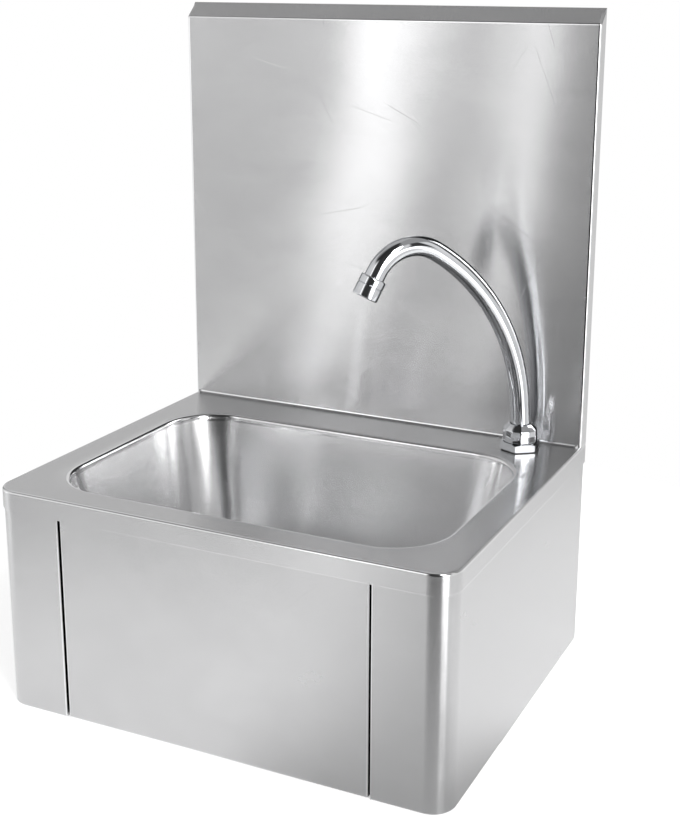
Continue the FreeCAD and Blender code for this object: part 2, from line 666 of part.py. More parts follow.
def waste():
    down = (0, 0, -1)
    gasket = 1.5
    rim = 1.4
    rim_top = waste_seat + gasket + rim
    tail_end = casing_bottom + 2.0
    under = waste_seat - sheet
    lower_gasket = 3.0
    locknut = 9.0
    bore_radius = 19.8
    save("waste_gasket_upper", ring(34.0, waste_thread + 1.1, at_waste(waste_seat + gasket), down, gasket))
    tube = cylinder(waste_thread, at_waste(rim_top), down, rim_top - tail_end)
    flange = cylinder(35.0, at_waste(rim_top), down, rim)
    flange = flange.makeFillet(1.0, edges_at(flange, lambda b: b.ZMin > rim_top - 1e-6))
    bore = cylinder(bore_radius, at_waste(rim_top + 1), down, rim_top - tail_end + 2)
    seat = cylinder(bore_radius + 1.8, at_waste(rim_top + 1), down, 3.0)
    groove_top = under - lower_gasket - locknut - 0.3
    groove = ring(waste_thread + 1, waste_thread - 0.7, at_waste(groove_top), down, 2.0)
    body = tube.fuse(flange).cut(bore).cut(seat).cut(groove)
    screw_radius = 2.5
    hub = cylinder(6.0, at_waste(rim_top - 8), down, 7)
    arms = []
    for turn in range(3):
        arm = box(0, bore_radius + 0.7, -1.5, 1.5, rim_top - 14, rim_top - 9)
        arm.rotate(V(0, 0, 0), V(0, 0, 1), 120 * turn)
        arm.translate(V(0, bowl_centre_y, 0))
        arms.append(arm)
    body = body.multiFuse([hub] + arms).cut(cylinder(screw_radius, at_waste(rim_top - 7), down, 9))
    save("waste_body", body)

    top = rim_top + 0.2
    strainer = cylinder(bore_radius + 1.6, at_waste(top), down, 2.0)
    holes = [cylinder(2.8, at_waste(top + 1), down, 4)]
    for count, pitch in ((6, 9.6), (12, 16.2)):
        for index in range(count):
            angle = 2 * math.pi * (index + 0.5) / count
            centre = (pitch * math.cos(angle), bowl_centre_y + pitch * math.sin(angle), top + 1)
            holes.append(cylinder(2.9, centre, down, 4))
    head_radius = 4.9
    head = Part.makeCone(head_radius, screw_radius, 2.0, V(*at_waste(top + 0.9)), V(*down))
    save("waste_strainer", strainer.cut(Part.makeCompound(holes + [head])))

    crown = cylinder(head_radius, at_waste(top + 1.3), down, 0.4)
    slot = box(-head_radius - 0.1, head_radius + 0.1, bowl_centre_y - 0.6, bowl_centre_y + 0.6,
               top + 0.5, top + 2)
    shank = cylinder(screw_radius, at_waste(top - 1), down, 12)
    save("waste_screw", head.multiFuse([crown, shank]).cut(slot))

    save("waste_gasket_lower", ring(33.0, waste_thread, at_waste(under), down, lower_gasket))
    save("waste_locknut", chamfered_nut(62, waste_thread, at_waste(under - lower_gasket), down, locknut,
                                        sides=8))


# ---------------------------------------------------------------- build
deck()
splashback()
save("side_panel_right", side_panel(1))
save("side_panel_left", side_panel(-1))
rear_rail()
bowl()
knee_panel()
hinge_hardware()
valve()
hose()
spout_fixing()
spout()
waste()
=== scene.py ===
import json
import math
from functools import partial

import bmesh
import bpy
import numpy as np
from mathutils import Matrix, Vector


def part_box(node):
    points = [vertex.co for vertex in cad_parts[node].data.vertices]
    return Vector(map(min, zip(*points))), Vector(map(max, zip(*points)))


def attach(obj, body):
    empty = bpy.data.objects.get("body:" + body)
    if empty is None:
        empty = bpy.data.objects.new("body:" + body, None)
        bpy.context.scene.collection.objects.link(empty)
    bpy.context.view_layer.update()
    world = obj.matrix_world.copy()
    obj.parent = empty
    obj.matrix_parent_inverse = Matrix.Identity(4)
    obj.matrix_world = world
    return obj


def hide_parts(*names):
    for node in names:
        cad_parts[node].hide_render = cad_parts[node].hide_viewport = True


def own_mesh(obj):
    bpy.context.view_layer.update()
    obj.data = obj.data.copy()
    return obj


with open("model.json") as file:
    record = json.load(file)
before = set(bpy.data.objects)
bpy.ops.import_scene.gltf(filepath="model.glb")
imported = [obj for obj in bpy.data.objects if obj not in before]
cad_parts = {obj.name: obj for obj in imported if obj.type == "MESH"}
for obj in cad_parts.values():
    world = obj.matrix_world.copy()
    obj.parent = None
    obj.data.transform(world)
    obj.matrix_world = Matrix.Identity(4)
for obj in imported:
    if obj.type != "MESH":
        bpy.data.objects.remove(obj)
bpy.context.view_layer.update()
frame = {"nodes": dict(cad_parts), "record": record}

mm = 0.001
nodes = frame["nodes"]
record = frame["record"]
print("frame loaded with", len(nodes), "nodes")


def addObject(name, data):
    item = bpy.data.objects.new(name, data)
    bpy.context.scene.collection.objects.link(item)
    return item


# ---- camera, at the photograph's angle ----
cameraPlan = {
    "azimuth": 24.011,     # degrees to the right of straight in front
    "elevation": 14.378,
    "roll": 0.703,
    "place": (509.8, -1117.2, 481.3),     # mm
    "lens": 58.27, "sensor": 36,
    "shift": (-0.0673, -0.0881),
    "clip": (0.05, 50),                   # m
}


def makeCamera(plan):
    azimuth, elevation, roll = (math.radians(plan[key]) for key in ("azimuth", "elevation", "roll"))
    data = bpy.data.cameras.new("camera")
    data.lens = plan["lens"]
    data.sensor_width = plan["sensor"]
    data.shift_x, data.shift_y = plan["shift"]
    data.clip_start, data.clip_end = plan["clip"]
    camera = addObject("camera", data)
    pose = Matrix.Translation(Vector(plan["place"]) * mm)
    for angle, axis in ((azimuth, "Z"), (math.pi / 2 - elevation, "X"), (roll, "Z")):
        pose = pose @ Matrix.Rotation(angle, 4, axis)
    camera.matrix_world = pose
    bpy.context.scene.camera = camera


makeCamera(cameraPlan)
bpy.context.scene.view_settings.view_transform = "Standard"
print("camera placed")


# ---- surfaces from grids of points ----
def corners(node):
    # lowest and highest corner of a CAD node, in millimetres
    low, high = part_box(node)
    return np.array(low) / mm, np.array(high) / mm


def together(*values):
    # coordinates joined into points, each stretched to the shape that they have in common
    return np.stack(np.broadcast_arrays(*values), -1)


def unit(vectors):
    return vectors / np.linalg.norm(vectors, axis=-1, keepdims=True)


def distances(line):
    # distance gone along a line of points, from its first one
    return np.concatenate([[0], np.cumsum(np.linalg.norm(np.diff(line, axis=0), axis=1))])


def hoops(normals, sides, count):
    # one unit circle a row: normal * cos(angle) + side * sin(angle)
    angle = np.arange(count) * 2 * math.pi / count
    return np.cos(angle)[:, None] * normals[:, None] + np.sin(angle)[:, None] * sides[:, None]


def grid(points, uv=None, wrap=False, wrapRows=False, flip=False, leaveOut=None):
    # points[row, column] in mm; a square joins each four neighbours, and its normal is column x row
    points = np.asarray(points, float)
    rows, cols = points.shape[:2]
    row, col = np.meshgrid(np.arange(rows - 1 + wrapRows), np.arange(cols - 1 + wrap), indexing="ij")

    def squares(width, nextRow, nextCol):
        # places of each square's corners in a table that many columns wide
        return np.stack([row * width + col, row * width + nextCol,
                         nextRow * width + nextCol, nextRow * width + col], -1).reshape(-1, 4)

    if uv is None:
        across, down = points[rows // 2], points[:, 0]
        along = distances(np.concatenate([across, across[:1]]) if wrap else across)
        uv = together(along, distances(np.concatenate([down, down[:1]]) if wrapRows else down)[:, None])
    elif wrap:
        uv = np.concatenate([uv, uv[:, :1]], 1)
    faces, uvFaces = squares(cols, (row + 1) % rows, (col + 1) % cols), squares(uv.shape[1], row + 1, col + 1)
    if flip:
        faces, uvFaces = faces[:, ::-1], uvFaces[:, ::-1]
    if leaveOut is not None:
        faces, uvFaces = faces[~leaveOut.ravel()], uvFaces[~leaveOut.ravel()]
    return points.reshape(-1, 3), faces, uv.reshape(-1, 2)[uvFaces.ravel()]


def slab(low, high):
    # closed plain block between two corners
    points = together(*np.meshgrid(*zip(low, high), indexing="ij")).reshape(-1, 3)
    faces = np.array([[0, 1, 3, 2], [4, 6, 7, 5], [0, 4, 5, 1], [2, 3, 7, 6], [0, 2, 6, 4], [1, 5, 7, 3]])
    x, y, z = np.moveaxis(points[faces], -1, 0)
    return points, faces, together(x + y, z + y).reshape(-1, 2)


def holedPlate(corner, across, up, hole, radius, rings=(0.0, 0.03, 0.5, 0.9, 1.0), count=48):
    # flat plate from a corner along two edges, with a round hole: rows run from the edge in to the circle
    width, height = np.linalg.norm(across), np.linalg.norm(up)
    angle = (np.arange(count) + 0.5) * 2 * math.pi / count
    cosine, sine = np.cos(angle), np.sin(angle)
    reachX = np.where(cosine > 0, width - hole[0], -hole[0]) / cosine
    reachY = np.where(sine > 0, height - hole[1], -hole[1]) / sine
    edge = np.minimum(reachX, reachY)
    reach = edge + (radius - edge) * np.array(rings)[:, None]
    x, y = hole[0] + reach * cosine, hole[1] + reach * sine
    # the edge ring also takes in the plate's four corners, by moving the nearest point there
    for cornerX, cornerY in ((0, 0), (0, height), (width, 0), (width, height)):
        nearest = np.argmin(np.hypot(x[0] - cornerX, y[0] - cornerY))
        x[0, nearest], y[0, nearest] = cornerX, cornerY
    points = corner + x[..., None] * np.divide(across, width) + y[..., None] * np.divide(up, height)
    return grid(points, together(x, y), wrap=True)


def mirrored(part):
    # the same surface on the other side of X = 0, with its faces turned back outwards
    points, faces, uv = part
    return points * (-1, 1, 1), faces[:, ::-1], uv.reshape(-1, 4, 2)[:, ::-1].reshape(-1, 2)


def makeMesh(name, parts, weld=0.004):
    # joins the grids into one mesh and merges what coincides
    starts = np.cumsum([0] + [len(part[0]) for part in parts])
    points, uv = (np.concatenate([part[column] for part in parts]) * mm for column in (0, 2))
    faces = np.concatenate([part[1] + start for part, start in zip(parts, starts)])
    mesh = bpy.data.meshes.new(name)
    mesh.from_pydata(points.tolist(), [], faces.tolist())
    mesh.uv_layers.new(name="UVMap").data.foreach_set("uv", uv.astype(np.float32).ravel())
    work = bmesh.new()
    work.from_mesh(mesh)
    bmesh.ops.remove_doubles(work, verts=work.verts, dist=weld * mm)
    bmesh.ops.dissolve_degenerate(work, edges=work.edges, dist=weld * mm * 0.5)
    work.to_mesh(mesh)
    work.free()
    return mesh


def readArray(items, key, width=1, kind=np.float32):
    # one value, or one row of values, for each item of a mesh
    values = np.empty(len(items) * width, kind)
    items.foreach_get(key, values)
    return values.reshape(-1, width) if width > 1 else values


def markBends(mesh, start=120.0, full=300.0, sliver=1e-7, closest=1e-6):
    # writes how tightly the sheet is bent at each point, from 0 to 1: the angle between two faces, over the
    # distance between their middles, is one over the bend's radius (in 1/m)
    edge = readArray(mesh.loops, "edge_index", kind=np.int32)
    face = np.repeat(np.arange(len(mesh.polygons)), readArray(mesh.polygons, "loop_total", kind=np.int32))
    order = np.argsort(edge, kind="stable")
    pair = edge[order][1:] == edge[order][:-1]
    first, second = face[order[:-1][pair]], face[order[1:][pair]]
    normals, middles = (readArray(mesh.polygons, key, 3) for key in ("normal", "center"))
    areas = readArray(mesh.polygons, "area")
    angle = np.arccos(np.clip(np.sum(normals[first] * normals[second], -1), -1, 1))
    apart = np.maximum(np.linalg.norm(middles[first] - middles[second], axis=-1), closest)
    tight = np.clip((angle / apart - start) / (full - start), 0, 1).astype(np.float32)
    tight[np.minimum(areas[first], areas[second]) < sliver] = 0
    bend = np.zeros(len(mesh.vertices), np.float32)
    for ends in readArray(mesh.edges, "vertices", 2, np.int32)[edge[order[1:][pair]]].T:
        np.maximum.at(bend, ends, tight)
    mesh.attributes.new("bend", "FLOAT", "POINT").data.foreach_set("value", bend)


def makePiece(name, parts, body, slot, stands, wall=0.0, sharp=40, blocks=(), finish=None):
    # gives a sheet its wall inwards, adds its plain blocks, and hands the piece to the frame
    mesh = makeMesh(name, parts)
    piece = addObject(name, mesh)
    if wall:
        solid = piece.modifiers.new("wall", "SOLIDIFY")
        solid.thickness = wall * mm
        solid.offset = -1
        solid.use_even_offset = True
        graph = bpy.context.evaluated_depsgraph_get()
        walled = bpy.data.meshes.new_from_object(piece.evaluated_get(graph))
        piece.modifiers.clear()
        piece.data = walled
        bpy.data.meshes.remove(mesh)
        walled.name = name
        # the wall plane Y = 0 trims whatever the inner face runs past it
        places = readArray(walled.vertices, "co", 3)
        places[:, 1] = np.minimum(places[:, 1], 0)
        walled.vertices.foreach_set("co", places.ravel())
    if blocks:
        more = makeMesh(name + "_blocks", blocks)
        work = bmesh.new()
        work.from_mesh(piece.data)
        work.from_mesh(more)
        work.to_mesh(piece.data)
        work.free()
        bpy.data.meshes.remove(more)
    piece.data.polygons.foreach_set("use_smooth", np.ones(len(piece.data.polygons), bool))
    piece.data.set_sharp_from_angle(angle=math.radians(sharp))
    markBends(piece.data)
    piece.data.materials.clear()
    piece.data.materials.append(finishes[finish or slot])
    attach(piece, body)
    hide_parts(*stands)
    return piece


def spread(length, pieces=1, edge=0.4):
    # shares from 0 to 1 along a run, with one short step at each end so that a flat stays flat beside a bend
    if length <= 3 * edge:
        return np.array([0.0, 1.0])
    return np.concatenate([[0], np.linspace(edge / length, 1 - edge / length, pieces + 1), [1]])


def foldLine(start, heading, steps):
    # line of a folded sheet, as ("run", length, pieces) and ("bend", radius, degrees, pieces) in turn: a
    # bend turns left by its degrees (right if negative) about a hub at its radius. Gives the places, the
    # normals on the right-hand side, and the distance gone
    places, normals, travel = [], [], []
    at, angle, gone = np.array(start, float), math.radians(heading), 0.0
    for index, (kind, size, *rest) in enumerate(steps):
        normal = np.array([math.sin(angle), -math.cos(angle)])
        if kind == "run":
            reach = spread(size, *rest) * size
            points = at + reach[:, None] * np.array([math.cos(angle), math.sin(angle)])
            facing = np.repeat(normal[None], len(reach), 0)
        else:
            turn = math.radians(rest[0])
            share = np.linspace(0, 1, rest[1] + 1)
            angles = angle + turn * share
            facing = np.stack([np.sin(angles), -np.cos(angles)], -1)
            points = at + math.copysign(size, turn) * (facing - normal)
            reach = abs(turn) * size * share
            angle += turn
        skip = min(index, 1)
        places.append(points[skip:])
        normals.append(facing[skip:])
        travel.append(gone + reach[skip:])
        at, gone = points[-1], gone + reach[-1]
    return np.concatenate(places), np.concatenate(normals), np.concatenate(travel)


def levels(*heights):
    # upright section with a point at each height
    heights = np.array(heights, float)
    return together(0.0, heights), None, heights - heights[0]


def carry(line, section, start=0.0, rise=0.0, flip=False):
    # a section of (out, height) carried along a plan line: each point moves out along the line's normal
    places, normals, travel = line
    across, _, down = section
    x, y = np.moveaxis(places + normals * across[:, None, :1], -1, 0)
    return grid(together(x, y, across[:, 1:]), together(travel + start, down[:, None] + rise), flip=flip)


def turned(profile, at, along, count=96, flats=None, turn=0.0, soften=0.15):
    # ring made by turning a closed profile of (radius, height) round an axis; with flats=(sides, widths) the
    # radius is the smaller of the profile's and the polygon's, a little less at its corners
    along = unit(np.array(along, float))
    side = unit(np.cross(along, (0, 0, 1.0) if abs(along[2]) < 0.9 else (1.0, 0, 0)))
    radius, height = np.array(profile, float).T[..., None]
    if flats:
        sides, widths = flats
        half = np.array(widths)[:, None] / 2
        sector = 2 * math.pi / sides
        off = (np.arange(count) * 2 * math.pi / count + math.radians(turn)) % sector - sector / 2
        radius = np.minimum(radius, np.minimum(half / np.cos(off), half / math.cos(sector / 2) - soften))
    circle = hoops(side[None], np.cross(along, side)[None], count)
    return grid(at + radius[..., None] * circle + height[..., None] * along, wrap=True, wrapRows=True)


def pipe(line, outer, inner, count=64):
    # round pipe: two circles carried along a line of (places, normals, sides) in space, joined at both ends
    places, normals, sides = line
    outside, inside = (places[:, None] + radius * hoops(normals, sides, count) for radius in (outer, inner))
    ends = [grid(np.stack([outside[index], inside[index]]), wrap=True, flip=index == 0) for index in (0, -1)]
    return [grid(outside, wrap=True), grid(inside, wrap=True, flip=True)] + ends


# ---- node arithmetic ----
def addNode(tree, kind, values=None, **settings):
    # kind is the node's type without its first word; another node's output is linked, a number is set
    node = tree.nodes.new("ShaderNode" + kind)
    for key, value in settings.items():
        setattr(node, key, value)
    for key, value in (values or {}).items():
        if isinstance(value, bpy.types.NodeSocket):
            tree.links.new(value, node.inputs[key])
        else:
            node.inputs[key].default_value = value
    return node


def valueOf(kind, *values, **settings):
    # first output of a new node; its values come in order or as one dict, and name its tree
    values = values[0] if isinstance(values[0], dict) else dict(enumerate(values))
    tree = next(value.id_data for value in values.values() if isinstance(value, bpy.types.NodeSocket))
    return addNode(tree, kind, values, **settings).outputs[0]


def calculate(operation, *values, clamp=False):
    return valueOf("Math", *values, operation=operation, use_clamp=clamp)


plus, minus, times, over = (partial(calculate, name) for name in ("ADD", "SUBTRACT", "MULTIPLY", "DIVIDE"))


def remap(value, fromLow, fromHigh, toLow=0.0, toHigh=1.0, smooth=False):
    return valueOf("MapRange", value, fromLow, fromHigh, toLow, toHigh,
                   interpolation_type="SMOOTHSTEP" if smooth else "LINEAR")


def split(vector):
    return addNode(vector.id_data, "SeparateXYZ", {0: vector}).outputs


def mixed(share, first, second):
    return valueOf("Mix", {0: share, 2: first, 3: second})


def tinted(share, first, second):
    # colour between two, of which the first may come from another node
    first = first if isinstance(first, bpy.types.NodeSocket) else (*first, 1)
    return addNode(share.id_data, "Mix", {0: share, 6: first, 7: (*second, 1)}, data_type="RGBA").outputs[2]


def noise(vector, detail, roughness=0.5, distortion=0.0, scale=1.0):
    return valueOf("TexNoise", {"Vector": vector, "Scale": scale, "Detail": detail, "Roughness": roughness,
                                "Distortion": distortion})


def bumped(height, strength, distance, **more):
    return valueOf("Bump", {"Height": height, "Strength": strength, "Distance": distance, **more})


# ---- node groups that the finishes share ----
def brushLines(given):
    # fine lines of the brushing belt: noise drawn out along the first coordinate, at two widths
    along, across, _ = split(given["Vector"])
    layers = []
    for widen, weight in ((1.0, 0.55), (3.7, 0.45)):
        length, width = (times(given[label], widen * mm) for label in ("Length", "Width"))
        place = valueOf("CombineXYZ", over(along, length), over(across, width), widen)
        layers.append(times(noise(place, detail=2.0, roughness=0.6), weight))
    return plus(*layers)


def clouds(given):
    # slow patches left by rolling, wiping and polishing
    size = times(given["Size"], mm)
    x, y, z = (over(value, size) for value in split(given["Vector"]))
    place = valueOf("CombineXYZ", over(x, given["Stretch"]), y, z)
    bottom = times(given["Contrast"], 0.5)
    patches = noise(place, detail=4.0, roughness=0.62, distortion=0.4)
    return remap(patches, bottom, minus(1.0, bottom))


def scratches(given):
    # one straight scratch in some cells: the distance from a line through the cell's point at a random angle
    tree = given["Vector"].id_data
    scale = over(1.0, times(given["Cell"], mm))
    cells = addNode(tree, "TexVoronoi", {"Vector": given["Vector"], "Scale": scale},
                    voronoi_dimensions="2D", feature="F1").outputs
    x, y, _ = split(valueOf("VectorMath", given["Vector"], cells["Position"], operation="SUBTRACT"))
    turn, chance, strength = addNode(tree, "SeparateColor", {0: cells["Color"]}).outputs
    angle = times(turn, 2 * math.pi)
    across = minus(times(x, calculate("SINE", angle)), times(y, calculate("COSINE", angle)))
    near = remap(calculate("ABSOLUTE", across), 0.0, times(given["Width"], mm), 1.0, 0.0)
    return times(near, times(calculate("LESS_THAN", chance, given["Share"]), strength))


def brushedNormal(given):
    # brushing tips the surface only across its lines: normal + across * (hairs * slope + lines * grain). The
    # hairs are too fine to see and only spread the light, and the lines are the grain that shows
    tree = given["Vector"].id_data
    x, y, _ = split(given["Vector"])
    place = valueOf("CombineXYZ", over(x, times(given["Length"], mm)), over(y, times(given["Width"], mm)))
    fine = times(minus(noise(place, detail=0.0), 0.5), given["Slope"])
    seen = times(minus(given["Lines"], 0.5), given["Grain"])
    normal = addNode(tree, "NewGeometry").outputs["Normal"]
    along = addNode(tree, "Tangent", direction_type="UV_MAP", uv_map="UVMap").outputs[0]
    across = valueOf("VectorMath", normal, along, operation="CROSS_PRODUCT")
    tip = valueOf("VectorMath", {0: across, "Scale": plus(fine, seen)}, operation="SCALE")
    tipped = valueOf("VectorMath", normal, tip, operation="ADD")
    return valueOf("VectorMath", tipped, operation="NORMALIZE")


def makeGroup(fill, output, *labels, kind="Float"):
    # node group named after the function that fills it, with a vector and the labelled values to take in
    group = bpy.data.node_groups.new(fill.__name__, "ShaderNodeTree")
    group.interface.new_socket("Vector", in_out="INPUT", socket_type="NodeSocketVector")
    for label in labels:
        group.interface.new_socket(label, in_out="INPUT", socket_type="NodeSocketFloat")
    group.interface.new_socket(output, in_out="OUTPUT", socket_type="NodeSocket" + kind)
    result = fill(group.nodes.new("NodeGroupInput").outputs)
    group.links.new(result, group.nodes.new("NodeGroupOutput").inputs[0])
    return group


groups = {
    # what each one puts out, and the values that it takes in
    "lines": makeGroup(brushLines, "Lines", "Length", "Width"),
    "clouds": makeGroup(clouds, "Patches", "Size", "Stretch", "Contrast"),
    "scratches": makeGroup(scratches, "Mask", "Cell", "Width", "Share"),
    "normal": makeGroup(brushedNormal, "Normal", "Lines", "Length", "Width", "Slope", "Grain", kind="Vector"),
}


def useGroup(name, vector, **values):
    return valueOf("Group", {"Vector": vector, **values}, node_tree=groups[name])


# ---- finishes ----
def emptyMaterial(name):
    material = bpy.data.materials.new(name)
    material.use_nodes = True
    material.node_tree.nodes.clear()
    return material, material.node_tree


def finished(material, values):
    shader = addNode(material.node_tree, "BsdfPrincipled", values)
    addNode(material.node_tree, "OutputMaterial", {0: shader.outputs[0]})
    return material


def sheetSteel(name, plan):
    # brushed stainless sheet: U of the map runs along the brushing; bends and edges get a painted highlight
    # in their colour, and lose their brushing
    material, tree = emptyMaterial(name)
    bend = addNode(tree, "Attribute", attribute_name="bend").outputs["Fac"]
    flat = minus(1.0, bend)
    uv = addNode(tree, "UVMap", uv_map="UVMap").outputs[0]
    lines, patches, marks = (useGroup(key, uv, **plan[key]) for key in ("lines", "clouds", "scratches"))
    shade = plus(times(lines, plan["lineShade"]), times(patches, plan["patchShade"]))
    tone = tinted(shade, plan["dark"], plan["light"])
    rough = plus(remap(patches, 0, 1, plan["smoothest"], plan["roughest"]),
                 remap(lines, *plan["linesFrom"], -plan["lineRough"], plan["lineRough"]))
    brushed = useGroup("normal", uv, Lines=lines, Slope=times(flat, plan["slope"]), **plan["hairs"])
    scratched = bumped(times(marks, -1.0), plan["scratchStrength"], plan["scratchDepth"] * mm, Normal=brushed)
    # the sheet's shape in metres: slow waves, and a twist of twist * u * (v - level)
    waves = noise(uv, detail=0.0, scale=1 / (plan["waveSize"] * mm))
    u, v, _ = split(uv)
    twist = times(times(u, minus(v, plan["twistLevel"])), plan["twist"])
    shape = calculate("MULTIPLY_ADD", waves, plan["waveHeight"] * mm, twist)
    return finished(material, {
        "Metallic": 1.0, "Anisotropic": times(flat, plan["anisotropy"]), "Anisotropic Rotation": 0.25,
        "Tangent": addNode(tree, "Tangent", direction_type="UV_MAP", uv_map="UVMap").outputs[0],
        # painted highlight: bends and edges are lightened towards a pale colour by the bend mask
        "Base Color": tinted(times(bend, plan["bendHighlight"]), tone, plan["bendHighlightColour"]),
        "Roughness": mixed(bend, rough, plan["bendRough"]),
        "Normal": bumped(shape, 1.0, 1.0, Normal=scratched)})


def plainMetal(name, dark, light, rough, size=12.0, bump=0.1, metallic=1.0, grain=0.06, depth=0.2):
    # metal whose tone and gloss drift in small patches, over a grain that is a share of their size
    material, tree = emptyMaterial(name)
    place = addNode(tree, "TexCoord").outputs["Object"]
    patches, fine = (useGroup("clouds", place, Size=size * share, Stretch=1.0, Contrast=0.5)
                     for share in (1, grain))
    return finished(material, {
        "Metallic": metallic, "Base Color": tinted(patches, dark, light),
        "Roughness": remap(patches, 0, 1, *rough), "Normal": bumped(fine, bump, depth * mm)})


def braidedHose(name, plan):
    # two sets of strands cross at the lean angle; the one on top changes from crossing to crossing
    material, tree = emptyMaterial(name)
    u, v, _ = split(addNode(tree, "UVMap", uv_map="UVMap").outputs[0])
    pitch = 2 * math.pi * plan["radius"] * mm / plan["strands"]
    turns, lengths = over(u, pitch), times(v, math.tan(math.radians(plan["lean"])) / pitch)

    def hump(place, fall, top):
        # round back of a strand or wire: top + fall * d², at a distance d from its middle
        middle = minus(calculate("FRACT", place), 0.5)
        return calculate("MULTIPLY_ADD", times(middle, middle), fall, top)

    places = [calculate(operation, turns, lengths) for operation in ("ADD", "SUBTRACT")]
    onTop = calculate("PINGPONG", plus(*(calculate("FLOOR", place) for place in places)), 1.0)
    sets = [calculate("MULTIPLY_ADD", hump(place, *plan["strand"]), share,
                      hump(times(place, plan["wires"]), *plan["wire"]))
            for place, share in zip(places, (onTop, minus(1.0, onTop)))]
    height = calculate("MAXIMUM", *sets)
    return finished(material, {
        "Metallic": 1.0, "Normal": bumped(height, plan["bump"], plan["depth"] * mm),
        # painted shade: the braid is darker where it lies lower, on the strands' sides and where one set
        # passes under the other
        "Base Color": tinted(remap(height, *plan["paintedShadeFrom"]), plan["dark"], plan["light"]),
        "Roughness": remap(height, *plan["roughFrom"], *plan["rough"])})


sheetPlan = {
    # each group's own values, and how far its pattern shows
    "lines": {"Length": 55.0, "Width": 0.42}, "lineShade": 0.35, "linesFrom": (0.3, 0.7), "lineRough": 0.004,
    "clouds": {"Size": 70.0, "Stretch": 1.6, "Contrast": 0.55}, "patchShade": 0.4,
    "scratches": {"Cell": 46.0, "Width": 0.22, "Share": 0.3}, "scratchStrength": 0.4, "scratchDepth": 0.1,
    "hairs": {"Length": 0.7, "Width": 0.02, "Grain": 0.012}, "slope": 0.9, "anisotropy": 1.0,
    "dark": (0.54, 0.54, 0.545), "light": (0.68, 0.68, 0.685), "smoothest": 0.13, "roughest": 0.16,
    # painted highlight: how much bends and edges are lightened, and towards which colour
    "bendHighlight": 0.6, "bendHighlightColour": (0.86, 0.86, 0.87), "bendRough": 0.13,
    "twist": 0.042, "twistLevel": 0.46, "waveSize": 110.0, "waveHeight": 0.35,
}
deckSteelPlan = {**sheetPlan, "anisotropy": 0.95, "dark": (0.49, 0.49, 0.495), "light": (0.63, 0.63, 0.635),
                 "smoothest": 0.21, "roughest": 0.27, "twist": 0.0}
casingPlan = {**sheetPlan, "anisotropy": 0.85, "dark": (0.49, 0.49, 0.495), "light": (0.61, 0.61, 0.615),
              "lines": {"Length": 30.0, "Width": 0.42}, "smoothest": 0.22, "roughest": 0.28, "twist": 0.0,
              "clouds": {"Size": 45.0, "Stretch": 1.3, "Contrast": 0.55}}
satinPlan = {**sheetPlan, "anisotropy": 0.2, "dark": (0.68, 0.68, 0.685), "light": (0.84, 0.84, 0.845),
             "lines": {"Length": 20.0, "Width": 0.6}, "lineShade": 0.3, "smoothest": 0.23, "roughest": 0.27,
             "scratches": {"Cell": 46.0, "Width": 0.22, "Share": 0.15}, "slope": 0.0, "waveHeight": 0.15,
             "twist": 0.0}
braidPlan = {
    "radius": 6.5, "strands": 12, "wires": 5, "lean": 38.0,
    "strand": (-3.2, 1.0), "wire": (-1.2, 0.3),      # how fast the back falls away, and its top
    "bump": 0.9, "depth": 0.5,
    # painted shade: heights below this range take the dark colour, heights above it the light one
    "paintedShadeFrom": (0.45, 1.15), "dark": (0.10, 0.10, 0.11), "light": (0.66, 0.66, 0.67),
    "roughFrom": (0.4, 1.2), "rough": (0.5, 0.22),
}

finishes = {
    "stainless_brushed": sheetSteel("brushedSteel", sheetPlan),
    "deckSteel": sheetSteel("deckSteel", deckSteelPlan),
    "stainless_casing": sheetSteel("casingSteel", casingPlan),
    "stainless_satin": sheetSteel("satinSteel", satinPlan),
    "galvanised": plainMetal("zincPlate", (0.42, 0.44, 0.46), (0.62, 0.64, 0.66), (0.32, 0.5)),
    "bright_steel": plainMetal("brightSteel", (0.55, 0.55, 0.56), (0.66, 0.66, 0.67), (0.16, 0.28)),
    "spring_steel": plainMetal("springSteel", (0.38, 0.38, 0.39), (0.54, 0.54, 0.55), (0.25, 0.4)),
    "chrome": plainMetal("chromePlate", (0.60, 0.61, 0.63), (0.68, 0.69, 0.71), (0.02, 0.04), bump=0.01),
    "nickel": plainMetal("nickelPlate", (0.58, 0.55, 0.50), (0.68, 0.65, 0.60), (0.12, 0.22), bump=0.03),
    "brass": plainMetal("rawBrass", (0.55, 0.40, 0.17), (0.74, 0.57, 0.28), (0.22, 0.42)),
    "black_rubber": plainMetal("blackRubber", (0.018, 0.018, 0.019), (0.035, 0.035, 0.036), (0.55, 0.75),
                               metallic=0.0),
    "fibre": plainMetal("redFibre", (0.34, 0.08, 0.05), (0.48, 0.14, 0.09), (0.7, 0.9), metallic=0.0),
    "white_plastic": plainMetal("whitePlastic", (0.74, 0.74, 0.72), (0.82, 0.82, 0.80), (0.35, 0.5),
                                metallic=0.0),
    "black_plastic": plainMetal("blackPlastic", (0.028, 0.028, 0.029), (0.05, 0.05, 0.052), (0.35, 0.55),
                                metallic=0.0),
    "braided_steel": braidedHose("braidedSteel", braidPlan),
}
turnedSteel = plainMetal("turnedSteel", (0.58, 0.58, 0.585), (0.72, 0.72, 0.725), (0.14, 0.24), size=18.0,
                         bump=0.05)
for subpart in record["subparts"]:
    node = nodes[subpart["node"]]
    slot = subpart["material_slot"]
    node.data.materials.clear()
    node.data.materials.append(turnedSteel if slot.startswith("stainless") else finishes[slot])
print("finishes made:", len(finishes))


# ---- closed loops for the deck and bowl ----
def sideShares(count, edge=0.012):
    return np.concatenate([[edge], np.linspace(0, 1, count + 1)[1:-1], [1 - edge]])


